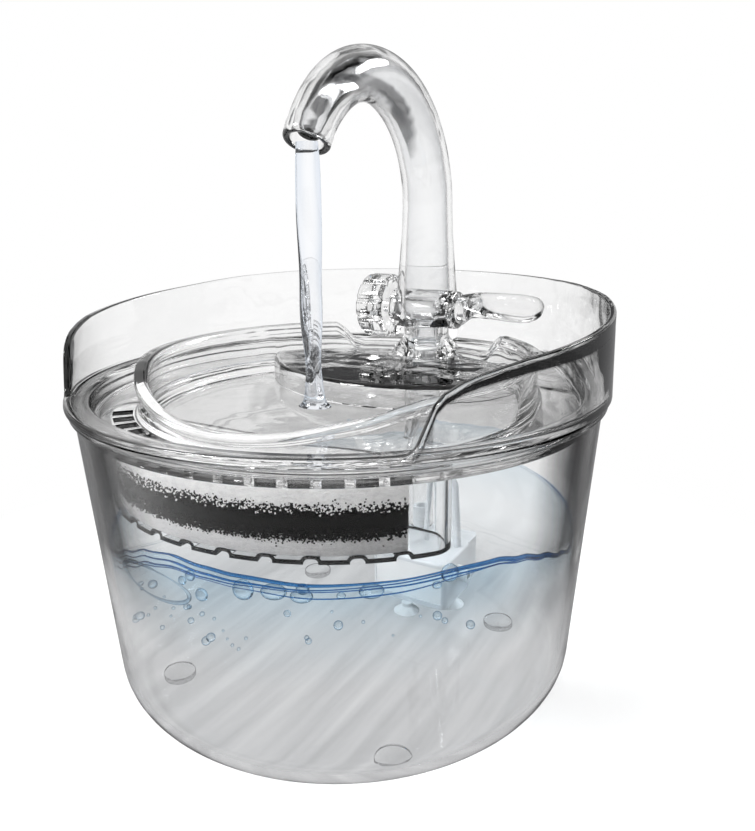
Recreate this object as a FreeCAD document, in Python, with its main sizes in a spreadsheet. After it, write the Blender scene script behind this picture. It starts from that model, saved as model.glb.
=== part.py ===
"""Pet water fountain: a clear round tank with a drinking tray on top and a gooseneck spout.

Millimetres. +Z is up, the drinking side faces -Y, and the origin is on the ground below the
tank's centre.
"""

import FreeCAD, Part
import math
import os

import Sketcher

Vector = FreeCAD.Vector
Rotation = FreeCAD.Rotation
Placement = FreeCAD.Placement

DRIVING_SIZES = {
    "foot_height": 2.0,
    "foot_radius": 6.0,
    "foot_circle": 63.7,
    "tank_base_radius": 81.2,
    "tank_rim_radius": 88.3,
    "tank_bead_radius": 90.0,
    "tank_top": 108.0,
    "tank_bead_height": 3.0,
    "tank_wall": 2.0,
    "tank_corner": 15.7,
    "lid_gap": 0.2,
    "lid_wall": 2.2,
    "lid_outer_radius": 91.0,
    "lid_top_radius": 90.2,
    "lid_top": 139.5,
    "lid_flange": 1.8,
    "lid_spigot_radius": 85.3,
    "ledge_top": 103.0,
    "lid_floor_top": 99.0,
    "lid_floor": 2.0,
    "ring_radius": 68.5,
    "ring_wall": 3.0,
    "ring_top": 118.5,
    "deck_top": 107.5,
    "deck_radius": 64.0,
    "grate_inner": 70.6,
    "grate_outer": 77.0,
    "grate_window": 5.6,
    "grate_pitch": 6.2,
    "grate_count": 15,
    "socket_setback": 66.0,
    "socket_radius": 9.3,
    "socket_flare": 19.0,
    "socket_top": 119.0,
    "socket_bottom": 62.0,
    "socket_bore": 6.55,
    "notch_width": 8.0,
    "notch_top": 115.0,
    "box_radius": 79.5,
    "box_chord": 38.0,
    "box_bottom": 78.0,
    "box_inner_top": 96.6,
    "box_outer_top": 100.6,
    "box_wall": 1.6,
    "carbon_bottom": 84.0,
    "cotton_bottom": 91.5,
    "cotton_top": 96.2,
    "peg_radius": 2.0,
    "peg_spread": 42.0,
    "peg_setback": 50.0,
    "peg_length": 8.0,
    "spout_bend": 44.0,
    "spout_sweep": 152.0,
    "spout_shoulder": 166.0,
    "spout_foot_radius": 13.8,
    "spout_leg_radius": 10.0,
    "spout_mouth_radius": 8.8,
    "spout_wall": 2.0,
    "spout_foot": 119.4,
    "spigot_radius": 6.5,
    "spigot_bottom": 101.0,
    "spigot_bore": 4.4,
    "handle_height": 125.5,
    "handle_boss_radius": 7.6,
    "spindle_radius": 3.0,
    "knob_radius": 13.4,
    "knob_start": 15.0,
    "knob_end": 27.6,
    "knob_flutes": 10,
    "lever_start": 15.8,
    "lever_end": 48.5,
    "lever_width": 16.4,
    "lever_thickness": 3.2,
    "lever_tilt": 38.0,
    "pump_centre_x": 9.0,
    "pump_front": 33.0,
    "pump_width": 34.4,
    "pump_depth": 26.5,
    "pump_base": 8.0,
    "pump_height": 20.0,
    "pump_corner": 3.0,
    "rotor_height": 18.0,
    "rotor_well": 7.6,
    "volute_depth": 11.0,
    "chamber_radius": 7.4,
    "outlet_radius": 4.4,
    "outlet_top": 38.0,
    "riser_radius": 6.45,
    "riser_top": 79.0,
    "intake_radius": 9.4,
    "intake_depth": 4.0,
    "bail_top": 60.0,
    "bail_spread": 14.0,
    "bail_offset": 7.0,
    "bail_radius": 1.7,
}

TANK_FLOOR_THICKNESS = 2.2
FIT_CLEARANCE = 0.05


class Size:
    """A length that carries its number and the sheet formula that gives it."""

    def __init__(self, value, formula):
        self.value = float(value)
        self.formula = formula

    def __float__(self):
        return self.value

    def _join(self, other, sign, result, swap=False):
        text = other.formula if isinstance(other, Size) else repr(float(other))
        left, right = (text, self.formula) if swap else (self.formula, text)
        return Size(result, f"({left} {sign} {right})")

    def __add__(self, other):
        return self._join(other, "+", self.value + float(other))

    def __sub__(self, other):
        return self._join(other, "-", self.value - float(other))

    def __rsub__(self, other):
        return self._join(other, "-", float(other) - self.value, swap=True)

    def __mul__(self, other):
        return self._join(other, "*", self.value * float(other))

    def __truediv__(self, other):
        return self._join(other, "/", self.value / float(other))

    def __neg__(self):
        return Size(-self.value, f"(-1 * {self.formula})")


doc = FreeCAD.newDocument("pet_water_fountain")
sheet = doc.addObject("Spreadsheet::Sheet", "sizes")
for row, (alias, number) in enumerate(DRIVING_SIZES.items(), start=1):
    sheet.set(f"A{row}", alias)
    sheet.set(f"B{row}", str(number))
    sheet.setAlias(f"B{row}", alias)
doc.recompute()


def size(alias):
    return Size(sheet.get(alias), f"sizes.{alias}")


def bind(thing, **properties):
    """Tie each named property of a feature to a sheet formula or set a plain number."""
    for name, value in properties.items():
        if isinstance(value, Size):
            thing.setExpression(name, value.formula)
        else:
            setattr(thing, name, value)


def new_body(name):
    body = doc.addObject("PartDesign::Body", name)
    body.Label = name
    return body


def plane(body, role):
    return next(f for f in body.Origin.OriginFeatures if f.Role == role)


def new_sketch(body, name, role="XZ_Plane", lift=None, turn=None):
    """A sketch on one of the body's own planes, lifted along the plane's normal."""
    sketch = body.newObject("Sketcher::SketchObject", name)
    sketch.AttachmentSupport = [(plane(body, role), "")]
    sketch.MapMode = "FlatFace"
    if turn is not None:
        sketch.AttachmentOffset = turn
    if lift is not None:
        sketch.setExpression("AttachmentOffset.Base.z", lift.formula)
    return sketch


def fix(sketch, kind, geometry, point, value):
    """Hold one point of the sketch at a distance from its origin along x or y."""
    if abs(float(value)) < 1e-9 and not isinstance(value, Size):
        axis = -2 if kind == "DistanceX" else -1
        return sketch.addConstraint(Sketcher.Constraint("PointOnObject", geometry, point, axis))
    index = sketch.addConstraint(Sketcher.Constraint(kind, -1, 1, geometry, point, float(value)))
    if isinstance(value, Size):
        sketch.setExpression(f"Constraints[{index}]", value.formula)
    return index


def outline(sketch, points):
    """A closed run of straight edges whose corners are tied to the sheet."""
    vectors = [Vector(float(x), float(y), 0) for x, y in points]
    lines = []
    for number, start in enumerate(vectors):
        end = vectors[(number + 1) % len(vectors)]
        lines.append(sketch.addGeometry(Part.LineSegment(start, end), False))
    for number, line in enumerate(lines):
        following = lines[(number + 1) % len(lines)]
        sketch.addConstraint(Sketcher.Constraint("Coincident", line, 2, following, 1))
    for line, (x, y) in zip(lines, points):
        fix(sketch, "DistanceX", line, 1, x)
        fix(sketch, "DistanceY", line, 1, y)
    return lines


def circle(sketch, x, y, radius):
    centre = Vector(float(x), float(y), 0)
    ring = sketch.addGeometry(Part.Circle(centre, Vector(0, 0, 1), float(radius)), False)
    fix(sketch, "DistanceX", ring, 3, x)
    fix(sketch, "DistanceY", ring, 3, y)
    index = sketch.addConstraint(Sketcher.Constraint("Radius", ring, float(radius)))
    if isinstance(radius, Size):
        sketch.setExpression(f"Constraints[{index}]", radius.formula)
    return ring


def revolve(body, name, points, groove=False):
    """Turn an outline of (radius, height) corners about the body's Z axis."""
    sketch = new_sketch(body, name + "_outline")
    outline(sketch, points)
    kind = "PartDesign::Groove" if groove else "PartDesign::Revolution"
    feature = body.newObject(kind, name)
    feature.Profile = sketch
    feature.ReferenceAxis = (sketch, ["V_Axis"])
    feature.Angle = 360.0
    doc.recompute()
    return feature


def pad(body, name, sketch, length, reversed_side=False, midplane=False):
    feature = body.newObject("PartDesign::Pad", name)
    feature.Profile = sketch
    feature.Reversed = reversed_side
    feature.Midplane = midplane
    bind(feature, Length=length)
    doc.recompute()
    return feature


def pocket(body, name, sketch, length, reversed_side=False, midplane=False):
    """Cut along the sketch, and stop if the cut takes nothing away."""
    before = body.Shape.Volume
    feature = body.newObject("PartDesign::Pocket", name)
    feature.Profile = sketch
    feature.Reversed = reversed_side
    feature.Midplane = midplane
    bind(feature, Length=length)
    doc.recompute()
    if body.Shape.Volume > before - 0.01:
        raise ValueError(f"{name} cuts nothing")
    return feature


def edges_where(body, test):
    return [f"Edge{i}" for i, edge in enumerate(body.Shape.Edges, start=1) if test(edge)]


def is_ring(edge, radius, height):
    """Whether an edge is a level circle about the Z axis of this radius and height."""
    if not isinstance(edge.Curve, Part.Circle):
        return False
    level = abs(edge.Curve.Center.z - float(height)) < 0.05
    return level and abs(edge.Curve.Radius - float(radius)) < 0.05


def soften(body, name, radius, test, chamfer=False):
    """Round (or chamfer) the edges that pass the test."""
    names = edges_where(body, test)
    if not names:
        raise ValueError(f"{name} finds no edge")
    kind = "PartDesign::Chamfer" if chamfer else "PartDesign::Fillet"
    base = body.Tip
    feature = body.newObject(kind, name)
    feature.Base = (base, names)
    if chamfer:
        bind(feature, Size=radius)
    else:
        bind(feature, Radius=radius)
    doc.recompute()
    return feature


def repeat_round(body, name, feature, count, angle=360.0):
    pattern = body.newObject("PartDesign::PolarPattern", name)
    pattern.Originals = [feature]
    pattern.Axis = (next(f for f in body.Origin.OriginFeatures if f.Role == "Z_Axis"), [""])
    pattern.Angle = angle
    bind(pattern, Occurrences=count)
    body.Tip = pattern
    doc.recompute()
    return pattern


def make_tank():
    """Clear moulded tank: tapered wall, deep round corner, rolled rim."""
    body = new_body("water_tank")
    bottom = size("foot_height")
    floor = bottom + TANK_FLOOR_THICKNESS
    rim_z = size("tank_top") - size("tank_bead_height")
    inner_rim = size("tank_rim_radius") - size("tank_wall")
    inner_base = size("tank_base_radius") - size("tank_wall")
    revolve(body, "tank_shell", [
        (0, bottom),
        (size("tank_base_radius"), bottom),
        (size("tank_rim_radius"), rim_z),
        (size("tank_bead_radius"), rim_z + 0.6),
        (size("tank_bead_radius"), size("tank_top")),
        (inner_rim, size("tank_top")),
        (inner_base, floor),
        (0, floor),
    ])
    soften(body, "outer_corner", size("tank_corner"),
           lambda e: is_ring(e, size("tank_base_radius"), bottom))
    soften(body, "inner_corner", size("tank_corner") - size("tank_wall"),
           lambda e: is_ring(e, inner_base, floor))
    soften(body, "rolled_rim", 0.9,
           lambda e: is_ring(e, size("tank_bead_radius"), size("tank_top")))
    return body


def make_feet(tank):
    """Four clear pads glued where the flat bottom starts to curve up."""
    blank = new_body("foot_blank")
    sketch = new_sketch(blank, "foot_circle_outline", "XY_Plane")
    offset = size("foot_circle") / math.sqrt(2)
    circle(sketch, offset, offset, size("foot_radius"))
    foot = pad(blank, "foot", sketch, size("foot_height") + 1.0)
    repeat_round(blank, "four_feet", foot, 4)
    pads = doc.addObject("Part::Cut", "foot_pads")
    pads.Base = blank
    pads.Tool = tank
    pads.Label = "foot_pads"
    return pads


def ring_height_cut(body):
    """The basin ring is low at the front, where the animal drinks, and at the back."""
    sketch = new_sketch(body, "ring_side_view", "YZ_Plane")
    top = size("ring_top")
    front = size("ring_radius")
    above = top + 10
    outline(sketch, [
        (-front - 6, size("deck_top") + 0.5),
        (-front + 4, size("deck_top") + 1.2),
        (-front + 16, top - 5),
        (-front + 27, top - 1.2),
        (-front + 40, top),
        (57.0, top),
        (59.0, size("deck_top") + 3.0),
        (front + 6, size("deck_top") + 3.0),
        (front + 6, above),
        (-front - 6, above),
    ])
    return pocket(body, "ring_cut", sketch, 200.0, midplane=True)


def wall_height_cut(body):
    """The lid's wall falls from the back in a long sweep, then dips to a low front lip."""
    sketch = new_sketch(body, "wall_side_view", "YZ_Plane")
    lip = size("tank_top") + size("lid_gap") + size("lid_flange")
    top = size("lid_top")
    reach = size("lid_outer_radius") + 4
    outline(sketch, [
        (-reach, lip),
        (-66.0, lip),
        (-61.0, top - 15.0),
        (-52.5, top - 11.1),
        (-39.5, top - 8.5),
        (-25.0, top - 7.2),
        (19.0, top - 4.0),
        (60.0, top - 0.6),
        (reach, top - 0.2),
        (reach, top + 6),
        (-reach, top + 6),
    ])
    return pocket(body, "wall_cut", sketch, 220.0, midplane=True)


def deck_sketch(body, name, inset, lift):
    """The raised deck's plan: a front edge curved about the socket, and the ring behind."""
    sketch = new_sketch(body, name, "XY_Plane", lift=lift)
    front_radius = size("deck_radius") - inset
    back_radius = size("ring_radius") - 1.0 - inset
    setback = size("socket_setback")
    d = float(setback)
    y = (float(back_radius) ** 2 - float(front_radius) ** 2 + d * d) / (2 * d)
    x = math.sqrt(float(back_radius) ** 2 - y * y)
    front_from = math.atan2(y - d, -x) % (2 * math.pi)
    front_to = math.atan2(y - d, x) % (2 * math.pi)
    back_from = math.atan2(y, x)
    up = Vector(0, 0, 1)
    front = sketch.addGeometry(Part.ArcOfCircle(
        Part.Circle(Vector(0, d, 0), up, float(front_radius)), front_from, front_to), False)
    back = sketch.addGeometry(Part.ArcOfCircle(
        Part.Circle(Vector(0, 0, 0), up, float(back_radius)), back_from, math.pi - back_from), False)
    sketch.addConstraint(Sketcher.Constraint("Coincident", back, 3, -1, 1))
    fix(sketch, "DistanceX", front, 3, 0)
    fix(sketch, "DistanceY", front, 3, setback)
    sketch.addConstraint(Sketcher.Constraint("Coincident", front, 1, back, 2))
    sketch.addConstraint(Sketcher.Constraint("Coincident", front, 2, back, 1))
    for arc, radius in ((front, front_radius), (back, back_radius)):
        index = sketch.addConstraint(Sketcher.Constraint("Radius", arc, float(radius)))
        sketch.setExpression(f"Constraints[{index}]", radius.formula)
    return sketch


def make_lid():
    """Clear tray in one moulding: basin, ring, ledge with its grate, wall, deck and socket."""
    body = new_body("lid_tray")
    floor_top = size("lid_floor_top")
    floor_under = floor_top - size("lid_floor")
    ring_out = size("ring_radius")
    ring_in = ring_out - size("ring_wall")
    ring_top = size("ring_top")
    flange_under = size("tank_top") + size("lid_gap")
    flange_top = flange_under + size("lid_flange")
    ledge_top = size("ledge_top")
    ledge_under = ledge_top - size("lid_floor")
    spigot_out = size("lid_spigot_radius")
    spigot_in = spigot_out - size("lid_wall")
    wall_out = size("lid_outer_radius")
    wall_top_out = size("lid_top_radius")
    wall_in = wall_out - size("lid_wall")
    wall_top_in = wall_top_out - size("lid_wall")
    revolve(body, "basin", [
        (0, floor_under),
        (ring_out, floor_under),
        (ring_out, ring_top + 2),
        (ring_in, ring_top + 2),
        (ring_in, floor_top),
        (0, floor_top),
    ])
    soften(body, "basin_corner", 2.4, lambda e: is_ring(e, ring_in, floor_top))
    ring_height_cut(body)
    revolve(body, "ledge_and_wall", [
        (ring_out - 0.5, ledge_under),
        (spigot_out, ledge_under),
        (spigot_out, flange_under),
        (wall_out, flange_under),
        (wall_top_out, size("lid_top") + 4),
        (wall_top_in, size("lid_top") + 4),
        (wall_in, flange_top),
        (spigot_in, flange_top),
        (spigot_in, ledge_top),
        (ring_out - 0.5, ledge_top),
    ])
    soften(body, "ledge_corner", 1.5, lambda e: is_ring(e, spigot_in, ledge_top))
    wall_height_cut(body)

    deck = deck_sketch(body, "deck_plan", 0, floor_under)
    pad(body, "deck", deck, size("deck_top") - floor_under)
    hollow = deck_sketch(body, "deck_hollow_plan", 2.2, floor_under)
    pocket(body, "deck_hollow", hollow, size("deck_top") - floor_under - 2.0, reversed_side=True)

    setback = size("socket_setback")
    flare = body.newObject("PartDesign::AdditiveCone", "socket_flare")
    bind(flare, Radius1=size("socket_flare"), Radius2=size("socket_radius"),
         Height=size("deck_top") + 6.5 - ledge_under)
    flare.setExpression("Placement.Base.y", setback.formula)
    flare.setExpression("Placement.Base.z", ledge_under.formula)
    tube = body.newObject("PartDesign::AdditiveCylinder", "socket_tube")
    bind(tube, Radius=size("socket_radius"), Height=size("socket_top") - size("socket_bottom"))
    tube.setExpression("Placement.Base.y", setback.formula)
    tube.setExpression("Placement.Base.z", size("socket_bottom").formula)
    bore = body.newObject("PartDesign::SubtractiveCylinder", "socket_bore")
    bind(bore, Radius=size("socket_bore"), Height=size("socket_top") - size("socket_bottom") + 2)
    bore.setExpression("Placement.Base.y", setback.formula)
    bore.setExpression("Placement.Base.z", (size("socket_bottom") - 1).formula)
    doc.recompute()

    pegs = new_sketch(body, "peg_plan", "XY_Plane", lift=floor_under)
    for side in (-1, 1):
        circle(pegs, size("peg_spread") * side, -size("peg_setback"), size("peg_radius"))
    pad(body, "filter_pegs", pegs, size("peg_length"), reversed_side=True)

    notch = new_sketch(body, "notch_view", "XZ_Plane")
    half = size("notch_width") / 2
    outline(notch, [
        (-half, size("tank_top") - 8),
        (half, size("tank_top") - 8),
        (half, size("notch_top") - 2),
        (half - 2, size("notch_top")),
        (-half + 2, size("notch_top")),
        (-half, size("notch_top") - 2),
    ])
    notch.setExpression("AttachmentOffset.Base.z", (-size("lid_outer_radius") - 3).formula)
    pocket(body, "cable_notch", notch, size("lid_outer_radius") + 3 - 82.6, reversed_side=True)

    window = new_sketch(body, "grate_window_plan", "XY_Plane", lift=ledge_top + 1)
    half = size("grate_window") / 2
    outline(window, [
        (-half, -size("grate_outer")),
        (half, -size("grate_outer")),
        (half, -size("grate_inner")),
        (-half, -size("grate_inner")),
    ])
    cut = pocket(body, "grate_window", window, 6.0)
    span = float(size("grate_pitch")) * (float(size("grate_count")) - 1)
    for name, side in (("grate_left", -1), ("grate_right", 1)):
        half_row = repeat_round(body, name, cut, (int(float(size("grate_count"))) + 1) // 2,
                                angle=span / 2)
        half_row.Reversed = side < 0
        doc.recompute()
    return body


def d_plan(sketch, radius, chord, corner):
    """A crescent filter's plan: a big front arc closed by a straight back with round ends."""
    r = float(radius)
    c = float(chord)
    k = float(corner)
    reach = math.sqrt((r - k) ** 2 - (c + k) ** 2)
    meet = math.atan2(c + k, reach)
    up = Vector(0, 0, 1)
    arcs = [
        Part.ArcOfCircle(Part.Circle(Vector(0, 0, 0), up, r), math.pi + meet, 2 * math.pi - meet),
        Part.ArcOfCircle(Part.Circle(Vector(reach, -c - k, 0), up, k), -meet, math.pi / 2),
        Part.LineSegment(Vector(reach, -c, 0), Vector(-reach, -c, 0)),
        Part.ArcOfCircle(Part.Circle(Vector(-reach, -c - k, 0), up, k), math.pi / 2,
                         math.pi + meet),
    ]
    front, right, back, left = [sketch.addGeometry(arc, False) for arc in arcs]
    sketch.addConstraint(Sketcher.Constraint("Coincident", front, 3, -1, 1))
    sketch.addConstraint(Sketcher.Constraint("Tangent", front, 2, right, 1))
    sketch.addConstraint(Sketcher.Constraint("Tangent", right, 2, back, 1))
    sketch.addConstraint(Sketcher.Constraint("Tangent", back, 2, left, 1))
    sketch.addConstraint(Sketcher.Constraint("Tangent", left, 2, front, 1))
    for arc, value in ((front, radius), (right, corner), (left, corner)):
        index = sketch.addConstraint(Sketcher.Constraint("Radius", arc, float(value)))
        if isinstance(value, Size):
            sketch.setExpression(f"Constraints[{index}]", value.formula)
    sketch.addConstraint(Sketcher.Constraint("Horizontal", back))
    fix(sketch, "DistanceY", back, 1, -chord)
    return sketch


BOX_CORNER = 8.0


def make_filter_box():
    """Clear crescent tray that hangs under the grate, with drain notches along its foot."""
    body = new_body("filter_box")
    bottom = size("box_bottom")
    wall = size("box_wall")
    radius = size("box_radius")
    chord = size("box_chord")
    outer = d_plan(new_sketch(body, "box_plan", "XY_Plane", lift=bottom), radius, chord, BOX_CORNER)
    pad(body, "box_block", outer, size("box_outer_top") - bottom)
    inner = d_plan(new_sketch(body, "box_hollow_plan", "XY_Plane", lift=bottom + wall),
                   radius - wall, chord + wall, BOX_CORNER - 1.6)
    pocket(body, "box_hollow", inner, size("box_outer_top") - bottom, reversed_side=True)
    revolve(body, "under_basin_cut", [
        (0, size("box_inner_top")),
        (size("ring_radius") + 0.6, size("box_inner_top")),
        (size("ring_radius") + 0.6, size("box_outer_top") + 1),
        (0, size("box_outer_top") + 1),
    ], groove=True)

    sockets = new_sketch(body, "peg_socket_plan", "XY_Plane", lift=bottom + wall / 2)
    for side in (-1, 1):
        circle(sockets, size("peg_spread") * side, -size("peg_setback"), size("peg_radius") + 1.7)
    pad(body, "peg_sockets", sockets, size("box_inner_top") - bottom - wall / 2)
    holes = new_sketch(body, "peg_hole_plan", "XY_Plane", lift=size("box_inner_top") + 1)
    for side in (-1, 1):
        circle(holes, size("peg_spread") * side, -size("peg_setback"), size("peg_radius") + 0.08)
    pocket(body, "peg_holes", holes, 9.0)

    notch = new_sketch(body, "drain_notch_view", "XZ_Plane", lift=chord + 15)
    half = 2.0
    outline(notch, [
        (-half, bottom - 1),
        (half, bottom - 1),
        (half, bottom + 2.2),
        (-half, bottom + 2.2),
    ])
    cut = pocket(body, "drain_notch", notch, radius - chord - 10, reversed_side=True)
    for name, flip in (("drain_notches_left", False), ("drain_notches_right", True)):
        row = repeat_round(body, name, cut, 6, angle=44.0)
        row.Reversed = flip
        doc.recompute()
    return body


def make_media(name, bottom, top, raised=None):
    """One layer of the filter pack, cut to the box's plan; the top layer fills the rim too."""
    body = new_body(name)
    gap = size("box_wall") + 0.15
    plan = d_plan(new_sketch(body, name + "_plan", "XY_Plane", lift=bottom),
                  size("box_radius") - gap, size("box_chord") + gap, BOX_CORNER - 1.75)
    pad(body, name + "_layer", plan, (raised if raised else top) - bottom)
    if raised:
        revolve(body, name + "_step", [
            (0, top),
            (size("ring_radius") + 0.8, top),
            (size("ring_radius") + 0.8, raised + 1),
            (0, raised + 1),
        ], groove=True)
    clear = new_sketch(body, name + "_peg_clearance", "XY_Plane", lift=size("box_inner_top") + 4)
    for side in (-1, 1):
        circle(clear, size("peg_spread") * side, -size("peg_setback"), size("peg_radius") + 1.8)
    pocket(body, name + "_peg_room", clear, 40.0)
    return body


def make_spout():
    """Clear gooseneck: a spigot, a bell foot, a tapering leg and a bend that thins to the mouth."""
    body = new_body("faucet_spout")
    shoulder = size("spout_shoulder")
    foot = size("spout_foot")
    wall = size("spout_wall")
    leg = size("spout_leg_radius")
    revolve(body, "leg", [
        (0, size("spigot_bottom")),
        (size("spigot_radius"), size("spigot_bottom")),
        (size("spigot_radius"), foot),
        (size("spout_foot_radius"), foot),
        (size("spout_foot_radius") + 0.4, foot + 2.4),
        (size("spout_foot_radius") - 1.6, foot + 15),
        (leg, shoulder),
        (0, shoulder),
    ])
    spine = new_sketch(body, "bend_line", "YZ_Plane")
    bend = size("spout_bend")
    sweep = math.radians(float(size("spout_sweep")))
    centre = Vector(-float(bend), float(shoulder), 0)
    arc = spine.addGeometry(Part.ArcOfCircle(
        Part.Circle(centre, Vector(0, 0, 1), float(bend)), 0.0, sweep), False)
    fix(spine, "DistanceX", arc, 3, -bend)
    fix(spine, "DistanceY", arc, 3, shoulder)
    fix(spine, "DistanceX", arc, 1, 0)
    fix(spine, "DistanceY", arc, 1, shoulder)
    fix(spine, "DistanceX", arc, 2, bend * (math.cos(sweep) - 1))

    def section(name, at_mouth, radius):
        sketch = new_sketch(body, name, "XY_Plane")
        if at_mouth:
            y = float(bend) * (math.cos(sweep) - 1)
            z = float(shoulder) + float(bend) * math.sin(sweep)
            turn = Rotation(Vector(1, 0, 0), float(size("spout_sweep")))
            sketch.AttachmentOffset = Placement(Vector(0, y, z), turn)
        else:
            sketch.setExpression("AttachmentOffset.Base.z", shoulder.formula)
        circle(sketch, 0, 0, radius)
        return sketch

    def bend_feature(kind, name, start_radius, end_radius):
        start = section(name + "_start", False, start_radius)
        end = section(name + "_end", True, end_radius)
        pipe = body.newObject(kind, name)
        pipe.Profile = start
        pipe.Spine = (spine, ["Edge1"])
        pipe.Sections = [(end, [""])]
        pipe.Transformation = "Multisection"
        doc.recompute()
        return pipe

    bend_feature("PartDesign::AdditivePipe", "bend", leg, size("spout_mouth_radius"))
    boss = new_sketch(body, "handle_boss_view", "YZ_Plane")
    circle(boss, 0, size("handle_height"), size("handle_boss_radius"))
    pad(body, "handle_boss", boss, size("knob_start") * 2 - 0.6, midplane=True)
    revolve(body, "flat_under_foot", [
        (size("spigot_radius"), foot - 3),
        (size("spout_foot_radius") + 3, foot - 3),
        (size("spout_foot_radius") + 3, foot),
        (size("spigot_radius"), foot),
    ], groove=True)
    bend_feature("PartDesign::SubtractivePipe", "bend_bore", leg - wall,
                 size("spout_mouth_radius") - wall)
    revolve(body, "leg_bore", [
        (0, size("spigot_bottom") - 1),
        (size("spigot_bore"), size("spigot_bottom") - 1),
        (size("spigot_bore"), foot),
        (size("spout_foot_radius") - 4, foot + 2.4),
        (size("spout_foot_radius") - 4, foot + 13),
        (leg - wall, shoulder + 0.01),
        (0, shoulder + 0.01),
    ], groove=True)
    revolve(body, "seal_groove", [
        (size("spigot_radius") - 1.5, 107.0),
        (size("spigot_radius") + 1, 107.0),
        (size("spigot_radius") + 1, 108.8),
        (size("spigot_radius") - 1.5, 108.8),
    ], groove=True)
    bore = new_sketch(body, "spindle_bore_view", "YZ_Plane")
    circle(bore, 0, size("handle_height"), size("spindle_radius") + FIT_CLEARANCE)
    pocket(body, "spindle_bore", bore, 60.0, midplane=True)
    return body


def make_seal():
    ring = doc.addObject("Part::Torus", "spout_seal_ring")
    ring.Label = "spout_seal_ring"
    bind(ring, Radius1=size("spigot_radius") - 0.74, Radius2=0.74)
    return ring


def make_spindle():
    body = new_body("handle_spindle")
    sketch = new_sketch(body, "spindle_view", "YZ_Plane", lift=-size("knob_end") + 4)
    circle(sketch, 0, 0, size("spindle_radius"))
    pad(body, "spindle", sketch, size("knob_end") + size("lever_start") + 2)
    return body


def make_knob():
    """Fluted grip: a drum with round hollows cut round its side and a blind hub hole."""
    body = new_body("handle_knob")
    start = size("knob_start")
    end = size("knob_end")
    radius = size("knob_radius")
    revolve(body, "knob_drum", [
        (0, start),
        (radius - 1.5, start),
        (radius, start + 1.5),
        (radius, end - 2),
        (radius - 2, end),
        (0, end),
    ])
    flute_sketch = new_sketch(body, "flute_plan", "XY_Plane", lift=start - 1)
    circle(flute_sketch, radius + 2.2, 0, 3.4)
    flute = pocket(body, "flute", flute_sketch, end - start + 2, reversed_side=True)
    repeat_round(body, "flutes", flute, size("knob_flutes"))
    hub = new_sketch(body, "hub_hole_plan", "XY_Plane", lift=start - 1)
    circle(hub, 0, 0, size("spindle_radius"))
    pocket(body, "hub_hole", hub, end - start - 2.8, reversed_side=True)
    body.Placement = Placement(Vector(0, 0, 0), Rotation(Vector(0, 1, 0), -90))
    return body


LEVER_RISE = 5.0


def make_lever():
    """Flat paddle that widens to a round end, with a hub that grips the spindle."""
    body = new_body("handle_lever")
    start = size("lever_start")
    end = size("lever_end")
    half = size("lever_width") / 2
    thickness = size("lever_thickness")
    hub = new_sketch(body, "hub_plan", "YZ_Plane", lift=start)
    circle(hub, 0, 0, size("handle_boss_radius") - 1)
    pad(body, "hub", hub, 8.0)
    rise = Placement(Vector(0, 0, 0), Rotation(Vector(0, 1, 0), -LEVER_RISE))
    blade = new_sketch(body, "blade_plan", "XY_Plane", turn=rise)
    outline(blade, [
        (start + 4, -half + 2.6),
        (end, -half),
        (end, half),
        (start + 4, half - 2.6),
    ])
    pad(body, "blade", blade, thickness, midplane=True)
    soften(body, "blade_end", 5.0, lambda e: e.BoundBox.XMin > float(end) - 1.0
           and e.BoundBox.YLength < 0.01)
    hole = new_sketch(body, "hub_hole_view", "YZ_Plane", lift=start - 1)
    circle(hole, 0, 0, size("spindle_radius"))
    pocket(body, "hub_hole", hole, 7.2, reversed_side=True)
    return body


def box_feature(body, name, x, y, z, cut=False):
    """A block given by its low and high limits on each axis."""
    kind = "PartDesign::SubtractiveBox" if cut else "PartDesign::AdditiveBox"
    block = body.newObject(kind, name)
    for axis, (low, high), side in (("x", x, "Length"), ("y", y, "Width"), ("z", z, "Height")):
        block.setExpression(f"Placement.Base.{axis}", (low + 0.0).formula)
        block.setExpression(side, (high - low).formula)
    doc.recompute()
    return block


def upright_edge(edge):
    return edge.BoundBox.XLength < 0.01 and edge.BoundBox.YLength < 0.01


def make_housing():
    """White moulded pump body: rounded block, rotor well from behind, coil pocket from front."""
    body = new_body("pump_housing")
    half = size("pump_width") / 2
    centre = size("pump_centre_x")
    front = size("pump_front")
    back = front + size("pump_depth")
    base = size("pump_base")
    top = base + size("pump_height")
    box_feature(body, "pump_block", (centre - half, centre + half), (front, back), (base, top))
    soften(body, "pump_corners", size("pump_corner"), upright_edge)
    soften(body, "pump_top_edge", 1.2, lambda e: abs(e.BoundBox.ZMin - float(top)) < 0.01
           and e.BoundBox.YMin < float(back) - 0.1)
    well = new_sketch(body, "well_view", "XZ_Plane", lift=-back - 1)
    circle(well, centre, size("rotor_height"), size("rotor_well"))
    pocket(body, "rotor_well", well, 18.0, reversed_side=True)
    box_feature(body, "coil_pocket", (centre - half + 2, centre + half - 2),
                (front - 1, front + 7.5), (base + 2, top - 2), cut=True)
    return body


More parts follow.
